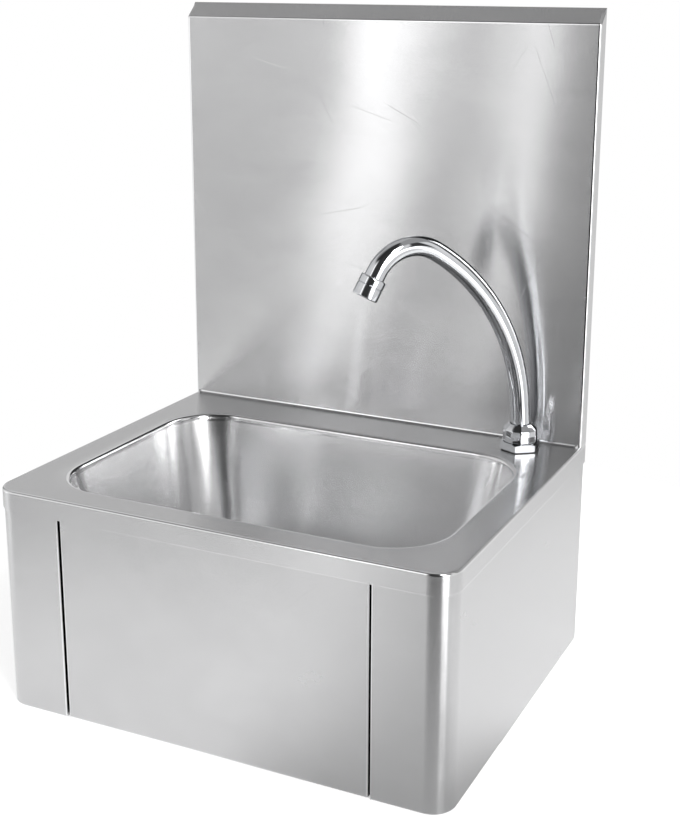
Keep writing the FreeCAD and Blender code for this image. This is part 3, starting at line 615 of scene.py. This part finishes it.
def loopShares(corner, longShares, shortShares):
    # for each point of a rounded rectangle: its corner's sign across, its share towards the front, its angle
    signs = np.array([(1, 0), (-1, 0), (-1, 1), (1, 1)])     # back right, back left, front left, front right
    places, angle = [], []
    for quarter, (place, following) in enumerate(zip(signs, np.roll(signs, -1, 0))):
        turn = (np.linspace(0, 1, corner + 1) + quarter) * math.pi / 2
        share = shortShares if quarter % 2 else longShares
        places += [np.repeat(place[None], len(turn), 0), place + (following - place) * share[:, None]]
        angle += [turn, np.full(len(share), turn[-1])]
    return *np.concatenate(places).T, np.concatenate(angle)


def roundedLoops(shares, *rows):
    # one rounded rectangle a row: corner hubs at the half width and ends less the radius, plus the radius
    across, forward, angle = shares
    halfX, front, back, frontRadius, backRadius, z = (np.atleast_1d(row)[:, None] for row in rows)
    radius = backRadius + (frontRadius - backRadius) * forward
    hubY = (back - backRadius) + ((front + frontRadius) - (back - backRadius)) * forward
    return together(across * (halfX - radius) + radius * np.cos(angle), hubY + radius * np.sin(angle), z)


deckLow, deckHigh = corners("deck")
splashLow, splashHigh = corners("splashback")
sideLow, sideHigh = corners("side_panel_right")
bowlLow, _ = corners("bowl")
deckTop = deckHigh[2]
halfWidth = deckHigh[0]

deckPlan = {
    "sheet": 1.0, "corner": 20.0, "rimBend": 1.8, "point": 0.02,     # point: as good as no radius
    "bowlHalf": 172.0, "bowlFront": -295.0, "bowlBack": -63.0, "bowlCorner": 52.0,
    "cornerSteps": 14, "longSteps": 18, "shortSteps": 12,
    "flatRows": (0.0, 0.02, 0.35, 0.7, 0.98),
    "roll": 3.2, "rollSteps": 10,
    "draft": 9.0, "collar": 3.0,         # degrees; straight wall left on the deck below the roll
    "collarRows": (0.15, 1.0), "wallRows": (0.0, 0.01, 0.35, 0.7, 0.985),
    "foot": 40.0, "footSteps": 18, "cornerShrink": 0.14, "floorRows": (0.02, 0.25, 0.5, 0.75, 0.97, 1.0),
    "recess": 2.5, "recessEdge": 40.0, "recessShoulder": 5.5, "shoulderSteps": 8, "recessFlat": 34.0,
    "drain": 25.0,
    "splashFoot": 5.5,                   # the splashback's foot stops this far from each side
}
bowlShares = loopShares(deckPlan["cornerSteps"], sideShares(deckPlan["longSteps"]),
                        sideShares(deckPlan["shortSteps"]))


def bowlProfile(plan):
    # inset and depth of the rolled edge, the drafted wall, the round foot and the floor, in one tangent line
    draft = math.radians(plan["draft"])
    roll, foot = plan["roll"], plan["foot"]
    floor = bowlLow[2] + plan["recess"] + plan["sheet"]
    phi = np.linspace(0, math.pi / 2 - draft, plan["rollSteps"] + 1)
    rolled = together(roll * np.sin(phi), deckTop - roll * (1 - np.cos(phi)))
    inset, z = rolled[-1]
    theta = np.linspace(draft, math.pi / 2, plan["footSteps"] + 1)
    footStart = floor + foot - foot * math.sin(draft)
    hubInset = inset + (z - footStart) * math.tan(draft) + foot * math.cos(draft)
    footed = together(hubInset - foot * np.cos(theta), floor + foot - foot * np.sin(theta))
    seam = np.array([inset + plan["collar"] * math.tan(draft), z - plan["collar"]])
    return rolled, seam, footed, floor


def bowlLoops(profile, plan):
    # the bowl's edge loop drawn in by each inset; the corner radius shrinks slowly below the roll
    inset, z = profile[:, 0], profile[:, 1]
    radius = plan["bowlCorner"] - np.minimum(inset, plan["roll"]) \
        - plan["cornerShrink"] * np.maximum(inset - plan["roll"], 0)
    return roundedLoops(bowlShares, plan["bowlHalf"] - inset, plan["bowlFront"] + inset,
                        plan["bowlBack"] - inset, radius, radius, z)


def makeDeck(plan):
    rolled, seam, _, _ = bowlProfile(plan)
    bend, corner = plan["rimBend"], plan["corner"]
    # half width, front, back and the two radii: of the deck's edge, then of the bowl's
    outer = (halfWidth - bend, deckLow[1] + bend, splashLow[1], corner - bend, plan["point"])
    inner = tuple(plan["bowl" + key] for key in ("Half", "Front", "Back", "Corner", "Corner"))
    share = np.array(plan["flatRows"])
    flat = roundedLoops(bowlShares, *(start + (end - start) * share for start, end in zip(outer, inner)),
                        np.full(len(share), deckTop))
    edge = np.concatenate([rolled, [rolled[-1] + (seam - rolled[-1]) * t for t in plan["collarRows"]]])
    loops = np.concatenate([flat, bowlLoops(edge, plan)])
    uv = loops[..., :2].copy()
    uv[len(flat):, :, 1] += edge[:, 1:]
    # the turned-down rim: front and sides, from wall to wall
    side = -deckLow[1] - corner
    run, turn = ("run", side, 3), ("bend", corner, 90, plan["cornerSteps"])
    line = foldLine((-halfWidth, 0), -90, [run, turn, ("run", 2 * (halfWidth - corner), 6), turn, run])
    rim = foldLine((-bend, deckTop), 0, [("bend", bend, -90, 6), ("run", deckHigh[2] - deckLow[2] - bend)])
    # the tongues beside the splashback's foot
    tongue = together((halfWidth - plan["splashFoot"], halfWidth - bend), ((splashLow[1],), (0.0,)), deckTop)
    tonguePart = grid(tongue, tongue[..., :2])
    parts = [grid(loops, uv, wrap=True), carry(line, rim, flip=True), tonguePart, mirrored(tonguePart)]
    makePiece("deck_sheet", parts, "casing", "stainless_brushed", ["deck"], wall=plan["sheet"],
              finish="deckSteel")


def makeBowl(plan):
    _, seam, footed, floor = bowlProfile(plan)
    wall = [seam + (footed[0] - seam) * t for t in plan["wallRows"]]
    loops = bowlLoops(np.concatenate([wall, footed]), plan)
    rim = loops[-1]
    centre = np.array([0.0, (plan["bowlFront"] + plan["bowlBack"]) / 2])
    out = unit(rim[:, :2] - centre)

    def circleAt(radius, z):
        x, y = (centre + radius * out).T
        return together(x, y, z)

    outside = circleAt(plan["recessEdge"], floor)
    rows = [rim + (outside - rim) * t for t in plan["floorRows"]]
    # the recess round the drain has a smooth shoulder: depth * t² * (3 - 2t)
    for t in np.linspace(0, 1, plan["shoulderSteps"] + 1)[1:]:
        rows.append(circleAt(plan["recessEdge"] - plan["recessShoulder"] * t,
                             floor - plan["recess"] * t * t * (3 - 2 * t)))
    rows += [circleAt(radius, floor - plan["recess"]) for radius in (plan["recessFlat"], plan["drain"])]
    makePiece("bowl_pressing", [grid(np.concatenate([loops, rows]), wrap=True)], "casing", "stainless_satin",
              ["bowl"], wall=plan["sheet"])


makeDeck(deckPlan)
makeBowl(deckPlan)
print("deck and bowl made")


# ---- splashback ----
splashPlan = {
    "sheet": 1.0, "depth": 14.0, "rise": 13.0, "fold": 2.5, "foldSteps": 8,
    "footHalf": 194.5, "footSteps": 30, "notch": 2.6, "beside": 0.3,     # points beside the notch's edge
    "leastOut": 0.02, "cornerShare": 0.95,       # the side's least depth; the fold's most, as a share of it
    "turnedIn": 12.0, "seatLift": 6.0, "ledge": (-4.0, 10.0),            # heights from the front's top
}


def uShares(front, steps):
    # points of a U in plan: share of the side's depth, sign across, and angle round the fold
    side = np.array([0.0, 0.05, 0.5, 0.95])
    turn = np.linspace(0, math.pi / 2, steps + 1)
    deep = np.concatenate([side, np.ones(2 * len(turn) + len(front)), side[::-1]])
    across = np.concatenate([-np.ones(len(side) + len(turn)), front, np.ones(len(side) + len(turn))])
    angle = np.concatenate([np.full(len(side), math.pi), math.pi + turn, np.full(len(front), 1.5 * math.pi),
                            1.5 * math.pi + turn, np.full(len(side), 2 * math.pi)])
    return deep, across, angle


def makeSplashback(plan):
    fold, depth, sheet, rise, steps = (plan[key] for key in ("fold", "depth", "sheet", "rise", "foldSteps"))
    slope = math.degrees(math.atan2(depth, rise))
    trim = fold * math.tan(math.radians(slope) / 2)
    frontTop = splashHigh[2] - rise
    upright = frontTop - trim - (deckTop + fold)
    foot, _, footTravel = foldLine((depth + fold, deckTop), 180, [("bend", fold, -90, steps)])
    climb, _, climbTravel = foldLine((depth, deckTop + fold), 90, [
        ("run", upright, 14), ("bend", fold, slope, steps), ("run", math.hypot(depth, rise) - trim, 3)])
    footHalf, notchX, beside = plan["footHalf"], plan["footHalf"] + plan["notch"], plan["beside"]
    inner = halfWidth - fold
    frontX = np.concatenate([[-inner + 0.05, -notchX + beside],
                             np.linspace(-footHalf, footHalf, plan["footSteps"] + 1),
                             [notchX - beside, inner - 0.05]])
    deep, across, angle = uShares(frontX / inner, steps)
    out = np.maximum(climb[:, :1], plan["leastOut"])
    radius = np.minimum(fold, out * plan["cornerShare"])
    x = np.where(np.abs(across) < 0.999, across * inner,
                 across * (halfWidth - radius) + radius * np.cos(angle))
    points = together(x, -deep * (out - radius) + radius * np.sin(angle), climb[:, 1:])
    line = points[0]
    uv = together(distances(line) - halfWidth - depth, climbTravel[:, None] + deckTop)
    # foot strip between the notches, and the side corners beside them
    footX = line[np.abs(line[:, 0]) <= footHalf + 1e-6, 0]
    strip = grid(together(footX, -foot[:, :1], foot[:, 1:]), together(footX, footTravel[:, None] + deckTop))
    edge = line[line[:, 0] >= notchX - beside - 0.05]
    corner = grid(np.stack([edge * (1, 1, 0) + (0, 0, deckTop), edge]))
    # edges turned in against the wall
    turnedIn = halfWidth - plan["turnedIn"]
    seat = slab((turnedIn, -sheet, deckTop + plan["seatLift"]), (halfWidth - sheet, 0, frontTop))
    ledgeLow, ledgeHigh = (frontTop + height for height in plan["ledge"])
    ledge = slab((-turnedIn, -sheet, ledgeLow), (turnedIn, 0, ledgeHigh))
    makePiece("splashback_sheet", [grid(points, uv), strip, corner, mirrored(corner)], "casing",
              "stainless_brushed", ["splashback"], wall=sheet, blocks=[seat, mirrored(seat), ledge])


makeSplashback(splashPlan)
print("splashback made")


# ---- casing sides with their front cheeks ----
sidePlan = {
    "sheet": 1.0, "corner": 19.0, "slitBend": 0.9, "slitReturn": 13.0,
    "notch": (7.8, 78.8, 87.2),      # what is left of the return in front of the hinge rod, and its heights
    "levels": (-40, 20), "beside": 0.5,      # heights of further rows of points; their distance from an edge
    "rearBend": 1.6, "flange": 32.0, "hem": 13.0, "hemBend": 0.9, "hemBack": -205.0,
    "screwX": 180.0, "screwZ": 60.0, "screwHole": 4.25,
}


def makeSides(plan):
    low, high = sideLow, sideHigh
    front, bottom, top = low[1], low[2], high[2]
    bend, rear, corner, hemBend, hemBack = (
        plan[key] for key in ("slitBend", "rearBend", "corner", "hemBend", "hemBack"))
    left, notchLow, notchHigh = plan["notch"]
    foot = bottom + hemBend
    lower = (foot, foot + plan["beside"], *plan["levels"], notchLow)
    upper = (notchHigh, top - plan["beside"], top)
    fold = ("bend", bend, 90, 6)
    hemmed = foldLine((low[0] + bend, front), 0, [
        ("run", high[0] - low[0] - bend - corner, 3), ("bend", corner, 90, 20),
        ("run", hemBack - front - corner, 3)])
    plain = foldLine((high[0], hemBack), 90, [("run", -hemBack - rear, 6), ("bend", rear, 90, 6)])
    folded = foldLine((low[0], front + plan["slitReturn"]), -90, [
        ("run", plan["slitReturn"] - left), ("run", left - bend), fold])
    short = foldLine((low[0], front + left), -90, [("run", left - bend), fold])
    hem = foldLine((-plan["hem"], bottom), 0, [("run", plan["hem"] - hemBend), ("bend", hemBend, 90, 6)])
    parts = [carry(hemmed, levels(*lower, *upper)),
             carry(plain, levels(bottom, *lower, *upper), hemmed[2][-1]),
             carry(hemmed, hem, 0, -hem[2][-1]),
             carry(folded, levels(bottom, *lower), -folded[2][-1]),
             carry(short, levels(notchLow, notchHigh), -short[2][-1], notchLow - foot),
             carry(folded, levels(*upper), -folded[2][-1], notchHigh - foot)]
    # rear flange in two plates, each with a screw hole
    edgeX, width = high[0] - rear, plan["flange"] - rear
    for z, start, end in ((-plan["screwZ"], bottom, 0), (plan["screwZ"], 0, top)):
        hole = (edgeX - plan["screwX"], z - start)
        parts.append(holedPlate((edgeX, 0, start), (-width, 0, 0), (0, 0, end - start), hole,
                                plan["screwHole"]))
    makePiece("side_sheet_right", parts, "casing", "stainless_casing", ["side_panel_right"],
              wall=plan["sheet"])
    makePiece("side_sheet_left", [mirrored(part) for part in parts], "casing", "stainless_casing",
              ["side_panel_left"], wall=plan["sheet"])


makeSides(sidePlan)
print("casing sides made")


# ---- knee panel ----
kneePlan = {
    "sheet": 1.0, "half": 135.6, "bend": 1.4, "bendSteps": 6, "corner": 1.0, "cornerSteps": 4,
    "sideReturn": 16.3, "topReturn": 7.0, "bottomReturn": 12.0,
    "beside": 0.5, "insets": (20, 50), "longSteps": (16, 0.004), "sideRows": (0.12, 0.88, 9), "point": 0.02,
    "pivot": (-307.0, 83.0), "bushHole": 4.0, "ear": (77.0, 88.2), "earBack": -300.0,
    "stop": (144.4, -85.0, -63.0),       # how far out the stop tabs reach, and their heights
}


def makeKneePanel(plan):
    low, high = corners("knee_panel")
    front, bottom, top = low[1], low[2], high[2]
    bend, half, corner = plan["bend"], plan["half"], plan["corner"]
    earLow, earHigh = plan["ear"]
    straight = top - bottom - 2 * corner
    earShares = np.array([(top - corner - z) / straight for z in (earHigh, earLow)])
    side = np.sort(np.concatenate([earShares, np.linspace(*plan["sideRows"]), 1 - earShares]))
    shares = loopShares(plan["cornerSteps"], sideShares(*plan["longSteps"]), side)
    angle = shares[2]
    phi = np.linspace(0, math.pi / 2, plan["bendSteps"] + 1)
    middle = (top - bottom) / 2 - 0.001
    start = bend + plan["beside"]
    inset = np.concatenate([[0, 0], bend * (1 - np.cos(phi)), [start, *plan["insets"], middle]])
    # loops are laid out flat as (x, z) and stood up; the first row is the edge of the returns
    radius = np.maximum(corner - inset, plan["point"])
    flat = roundedLoops(shares, half - inset, bottom + inset, top - inset, radius, radius, 0.0)
    x, z = flat[..., 0], flat[..., 1]
    onSide = np.abs(np.cos(angle)) > 0.7
    deep = np.where(onSide, plan["sideReturn"],
                    np.where(np.sin(angle) > 0, plan["topReturn"], plan["bottomReturn"]))
    behind = np.concatenate([[start], bend * (1 - np.sin(phi)), np.zeros(4)])
    y = front + np.concatenate([[deep], np.repeat(behind[:, None], len(deep), 1)])
    # the side returns leave room for the plates that hold the bushes
    level = (z[0] + np.roll(z[0], -1)) / 2
    leaveOut = np.zeros((len(inset) - 1, len(angle)), bool)
    leaveOut[0] = onSide & (level > earLow) & (level < earHigh) & (np.abs(np.sin(angle)) < 0.1)
    panel = grid(together(x, y, z), together(x, z + (y - front)), wrap=True, leaveOut=leaveOut)
    pivotY, pivotZ = plan["pivot"]
    earFront = front + start
    ear = holedPlate((half, earFront, earLow), (0, plan["earBack"] - earFront, 0), (0, 0, earHigh - earLow),
                     (pivotY - earFront, pivotZ - earLow), plan["bushHole"])
    reach, stopLow, stopHigh = plan["stop"]
    stopBack = front + plan["sideReturn"]
    stop = slab((half, stopBack - plan["sheet"], stopLow), (reach, stopBack, stopHigh))
    makePiece("knee_sheet", [panel, ear, mirrored(ear)], "knee_panel", "stainless_casing", ["knee_panel"],
              wall=plan["sheet"], blocks=[stop, mirrored(stop)])


makeKneePanel(kneePlan)
print("knee panel made")


# ---- spout ----
spoutPlan = {
    "foot": (150.5, -38.0), "heading": 228.0, "start": 3.5, "radius": 8.5, "bore": 7.0,
    "steps": [("run", 14.1), ("bend", 110.0, -4.2, 4), ("run", 18.4, 2), ("bend", 179.0, -54.0, 44),
              ("bend", 38.1, -93.7, 48), ("run", 6.0, 2)],
    "outlet": [(8.55, -1.5), (10.0, -1.5), (10.35, -1.35), (10.85, -0.85), (11.0, -0.5), (11.0, 0.2),
               (11.0, 5.4), (10.9, 5.5), (10.5, 5.75), (10.5, 6.15), (10.9, 6.4), (11.0, 6.5), (11.0, 6.9),
               (11.0, 15.4), (10.9, 15.9), (10.4, 16.4), (10.2, 16.5), (9.6, 16.5), (9.4, 16.3), (9.4, 15.9),
               (9.4, 4.2), (8.55, 4.0), (8.55, -1.3)],                  # radius, distance from the neck's end
    "collarSides": 12, "collarTurn": 9.0, "collarSteps": 240, "collarSharp": 26,
    "collarOutside": [(28.7, 8.3), (29.4, 8.45), (29.7, 8.9), (29.7, 18.9), (29.6, 19.2), (29.3, 19.45),
                      (21.0, 23.7), (20.5, 23.95), (20.1, 24.0)],       # width across the flats, height
    "collarInside": [(9.7, 24.0), (9.4, 23.85), (9.3, 23.5), (9.3, 17.6), (11.6, 17.6), (11.6, 8.4),
                     (11.7, 8.3)],                                      # radius, height
}


def spoutLine(plan):
    # the neck's line lies in one upright plane: reach along the heading, and height above the deck
    reach, facing, _ = foldLine((0, deckTop + plan["start"]), 90, plan["steps"])
    heading = math.radians(plan["heading"])
    plane = np.array([[math.cos(heading), math.sin(heading), 0], [0, 0, 1.0]])
    places = (*plan["foot"], 0) + reach @ plane
    return places, facing @ plane, np.broadcast_to(np.cross(*plane), places.shape)


def makeSpout(plan):
    line = spoutLine(plan)
    places = line[0]
    makePiece("spout_neck", pipe(line, plan["radius"], plan["bore"]), "spout", "chrome", ["spout_tube"])
    outlet = turned(plan["outlet"], places[-1], places[-1] - places[-2])
    makePiece("spout_outlet", [outlet], "spout", "chrome", ["aerator_housing"])
    outside, inside = plan["collarOutside"], plan["collarInside"]
    wide = max(width for width, _ in outside)
    rows = [(wide, z) for _, z in outside] + inside
    widths = [width for width, _ in outside] + [2 * wide] * len(inside)
    collar = turned(rows, (*plan["foot"], deckTop), (0, 0, 1), plan["collarSteps"],
                    (plan["collarSides"], widths), plan["collarTurn"])
    makePiece("spout_collar", [collar], "casing", "chrome", ["swivel_nut"], sharp=plan["collarSharp"])


makeSpout(spoutPlan)
print("spout made")


# ---- braided hose from the knee valve to the spout ----
hosePlan = {
    "radius": 6.5, "bore": 4.0,
    "turns": [(116.0, -189.0, -66.0), (116.0, -128.0, -66.0), (150.5, -38.0, -66.0), (150.5, -38.0, 30.0)],
    "bends": (148.3, 43.2),
}


def bentLine(turns, bends, step=2.5):
    # straight runs joined by arcs: an arc starts radius * tan(turn / 2) before its corner
    turns = np.array(turns, float)
    headings = unit(np.diff(turns, axis=0))
    places, tangents, at = [], [], turns[0]

    def shares(length, least=2):
        return np.linspace(0, 1, max(least, int(length / step)))[:, None]

    for index, radius in enumerate(bends):
        before, after = headings[index], headings[index + 1]
        turn = math.acos(np.dot(before, after))
        inward = unit(after - before * np.dot(before, after))
        start = turns[index + 1] - before * radius * math.tan(turn / 2)
        run = at + (start - at) * shares(np.linalg.norm(start - at))[:-1]
        angle = turn * shares(radius * turn, 3)
        places += [run, start + radius * (np.sin(angle) * before + (1 - np.cos(angle)) * inward)]
        tangents += [np.broadcast_to(before, run.shape), np.cos(angle) * before + np.sin(angle) * inward]
        at = places[-1][-1]
    places.append(at + (turns[-1] - at) * shares(np.linalg.norm(turns[-1] - at))[1:])
    tangents.append(np.broadcast_to(headings[-1], places[-1].shape))
    return np.concatenate(places), np.concatenate(tangents)


def makeHose(plan):
    places, tangents = bentLine(plan["turns"], plan["bends"])
    # the circle's first direction is a level vector square to the hose's middle run, freed of the tangent
    run = np.subtract(plan["turns"][2], plan["turns"][1])
    level = np.array([run[1], -run[0], 0]) / np.linalg.norm(run)
    normals = unit(level - tangents * (tangents @ level)[:, None])
    line = (places, normals, np.cross(tangents, normals))
    makePiece("hose_braid", pipe(line, plan["radius"], plan["bore"]), "casing", "braided_steel",
              ["outlet_hose"])


makeHose(hosePlan)
print("hose made")


# ---- valve spring, drawn at one length (the real one shortens as the button goes in) ----
springPlan = {"turns": 8, "wire": 0.6, "steps": 24, "around": 10, "travel": 11.0}


def makeSpring(plan):
    # helix from the button to the valve body: (r cos a, y, -r sin a), with y in proportion to the angle a;
    # the wire's end circles are drawn in to a point
    low, high = corners("valve_spring")
    wire = plan["wire"]
    middle, radius, length = (low + high) / 2, (high[0] - low[0]) / 2 - wire, high[1] - low[1]
    share = np.linspace(0, 1, plan["turns"] * plan["steps"] + 1)
    angle = 2 * math.pi * plan["turns"] * share
    outward = together(np.cos(angle), 0.0, -np.sin(angle))
    places = middle + radius * outward
    places[:, 1] = low[1] + wire + (length - 2 * wire) * share
    sides = np.cross(unit(np.gradient(places, axis=0)), outward)
    rows = np.r_[0, 0:len(places), len(places) - 1]
    thick = np.full((len(rows), 1, 1), wire)
    thick[[0, -1]] = 0
    coil = grid(places[rows][:, None] + thick * hoops(outward[rows], sides[rows], plan["around"]), wrap=True)
    piece = makePiece("valve_coil", [coil], "casing", "spring_steel", ["valve_spring"])
    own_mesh(piece)


makeSpring(springPlan)
print("valve spring made")


# ---- stage and light ----
stagePlan = {
    "floorDrop": 0.3, "floorRadius": 0.62, "floorMiddle": -0.15, "floorSteps": 128,
    "floorColour": (0.8, 0.8, 0.8, 1), "floorGlow": 0.62,
    "dimFrom": (-7, 20), "dimTo": (34, 56),      # azimuths between which the floor glows less in reflections: painted shade on the floor
}


def azimuthOf(place):
    # angle from straight in front of the part (0) towards its right (positive), in degrees
    x, y, height = split(place)
    front = times(y, -1.0)
    return calculate("DEGREES", calculate("ARCTAN2", x, front)), height, front


def makeFloor(plan):
    # round pale table top, wide enough to fill the lower reflections
    steps, reach = plan["floorSteps"], plan["floorRadius"]
    angle = np.arange(steps) * 2 * math.pi / steps
    z = (sideLow[2] - plan["floorDrop"]) * mm
    rim = together(reach * np.cos(angle), reach * np.sin(angle) + plan["floorMiddle"], z)
    mesh = bpy.data.meshes.new("floor")
    mesh.from_pydata(rim.tolist(), [], [list(range(steps))])
    floor = addObject("floor", mesh)
    material, tree = emptyMaterial("floorPaper")
    azimuth = azimuthOf(addNode(tree, "NewGeometry").outputs["Position"])[0]
    # painted shade: in reflections the floor's glow is dimmed between these azimuths
    dim = minus(*(remap(azimuth, *plan[key], smooth=True) for key in ("dimFrom", "dimTo")), clamp=True)
    path = addNode(tree, "LightPath").outputs
    seen = plus(path["Is Camera Ray"], times(path["Is Glossy Ray"], minus(1.0, dim)))
    seen = plus(seen, path["Is Transmission Ray"], clamp=True)
    glow = valueOf("Emission", {"Color": (1, 1, 1, 1), "Strength": times(seen, plan["floorGlow"])})
    matte = addNode(tree, "BsdfDiffuse", {"Color": plan["floorColour"]}).outputs[0]
    addNode(tree, "OutputMaterial", {0: valueOf("AddShader", matte, glow)})
    mesh.materials.append(material)


roomPlan = {
    # brightness of the room by azimuth, in degrees from straight in front of the part to its right: the first
    # list holds below the horizon, the second above it
    "low": [(-180, 0.85), (-95, 0.85), (-75, 1.4), (-45, 1.4), (-36, 1.3), (-29.4, 1.25), (-26.6, 1.4),
            (-26.1, 3.2), (-24.2, 3.2), (-23.4, 1.5), (-21.2, 0.95), (-19.8, 1.4), (-18.6, 2.6), (-17.6, 2.4),
            (-17.0, 0.75), (-15, 0.66), (-8, 0.3), (-3, 0.05), (36, 0.05), (43, 0.4), (48, 3.4), (68, 4.8),
            (75, 0.9), (92, 0.85), (180, 0.85)],
    "high": [(-180, 0.85), (-124, 0.85), (-121, 0.08), (-108, 0.08), (-105, 0.8), (-95, 0.75), (-50, 0.9),
             (-40, 0.85), (-30, 0.9), (-26.6, 1.0), (-26.1, 2.4), (-24.2, 2.4), (-23.4, 1.3), (-21.2, 1.1),
             (-18.6, 1.7), (-17.6, 1.6), (-17.0, 0.7), (-14, 0.4), (-8, 0.05), (44, 0.05), (48, 4.5),
             (54, 4.5), (59, 0.9), (66, 0.9), (69, 0.06), (81, 0.06), (84, 1.0), (104, 1.0), (107, 0.08),
             (118, 0.08), (121, 0.45), (168, 0.45), (178, 0.85), (180, 0.85)],
    "horizon": (0.03, 0.14),
    "wallTop": (0.6, 0.74),
    "ceiling": (0.55, 0.04, 0.4),                        # to the left, in front and to the right
    "ceilingLeft": (-100, -38), "ceilingRight": (34, 60),
    # in front, the walls grow darker towards the floor
    "floorShade": 0.7, "floorFrom": (-0.04, -0.24), "frontFrom": (0.3, 0.7),
}


def brightnessCurve(angle, steps):
    # straight lines from one (degrees, brightness) pair to the next
    most = max(value for _, value in steps)
    curve = addNode(angle.id_data, "FloatCurve", {"Value": remap(angle, -180, 180)})
    points = curve.mapping.curves[0].points
    for index, (degrees, value) in enumerate(steps):
        place = (degrees / 360 + 0.5, value / most)
        point = points[index] if index < 2 else points.new(*place)
        point.location = place
    for point in points:
        point.handle_type = "VECTOR"
    curve.mapping.update()
    return times(curve.outputs[0], most)


def makeWorld(plan):
    world = bpy.data.worlds.new("studio")
    bpy.context.scene.world = world
    world.use_nodes = True
    tree = world.node_tree
    tree.nodes.clear()
    azimuth, height, front = azimuthOf(addNode(tree, "TexCoord").outputs["Generated"])
    low, high = (brightnessCurve(azimuth, plan[key]) for key in ("low", "high"))
    walls = mixed(remap(height, *plan["horizon"], smooth=True), low, high)
    shade = times(remap(height, *plan["floorFrom"], 0.0, plan["floorShade"], smooth=True),
                  remap(front, *plan["frontFrom"], smooth=True))
    left, middle, right = plan["ceiling"]
    ceiling = calculate("MAXIMUM", remap(azimuth, *plan["ceilingLeft"], left, middle, smooth=True),
                        remap(azimuth, *plan["ceilingRight"], middle, right, smooth=True))
    room = mixed(remap(height, *plan["wallTop"], smooth=True), times(walls, minus(1.0, shade)), ceiling)
    seen = addNode(tree, "LightPath").outputs["Is Camera Ray"]
    sky = valueOf("Background", {"Color": (1, 1, 1, 1), "Strength": calculate("MAXIMUM", room, seen)})
    addNode(tree, "OutputWorld", {0: sky})


softBoxPlan = {"place": (1.25, -1.2, 1.05), "aim": (0, -0.15, 0), "size": (0.4, 1.3), "power": 18}    # m, W


def addSoftBox(name, place, aim, size, power):
    data = bpy.data.lights.new(name, "AREA")
    data.shape = "RECTANGLE"
    data.size, data.size_y = size
    data.energy = power
    lamp = addObject(name, data)
    lamp.location = place
    lamp.rotation_euler = (Vector(aim) - Vector(place)).to_track_quat("-Z", "Y").to_euler()
    lamp.visible_camera = False


makeFloor(stagePlan)
makeWorld(roomPlan)
addSoftBox("sideBox", **softBoxPlan)
print("stage and light made")
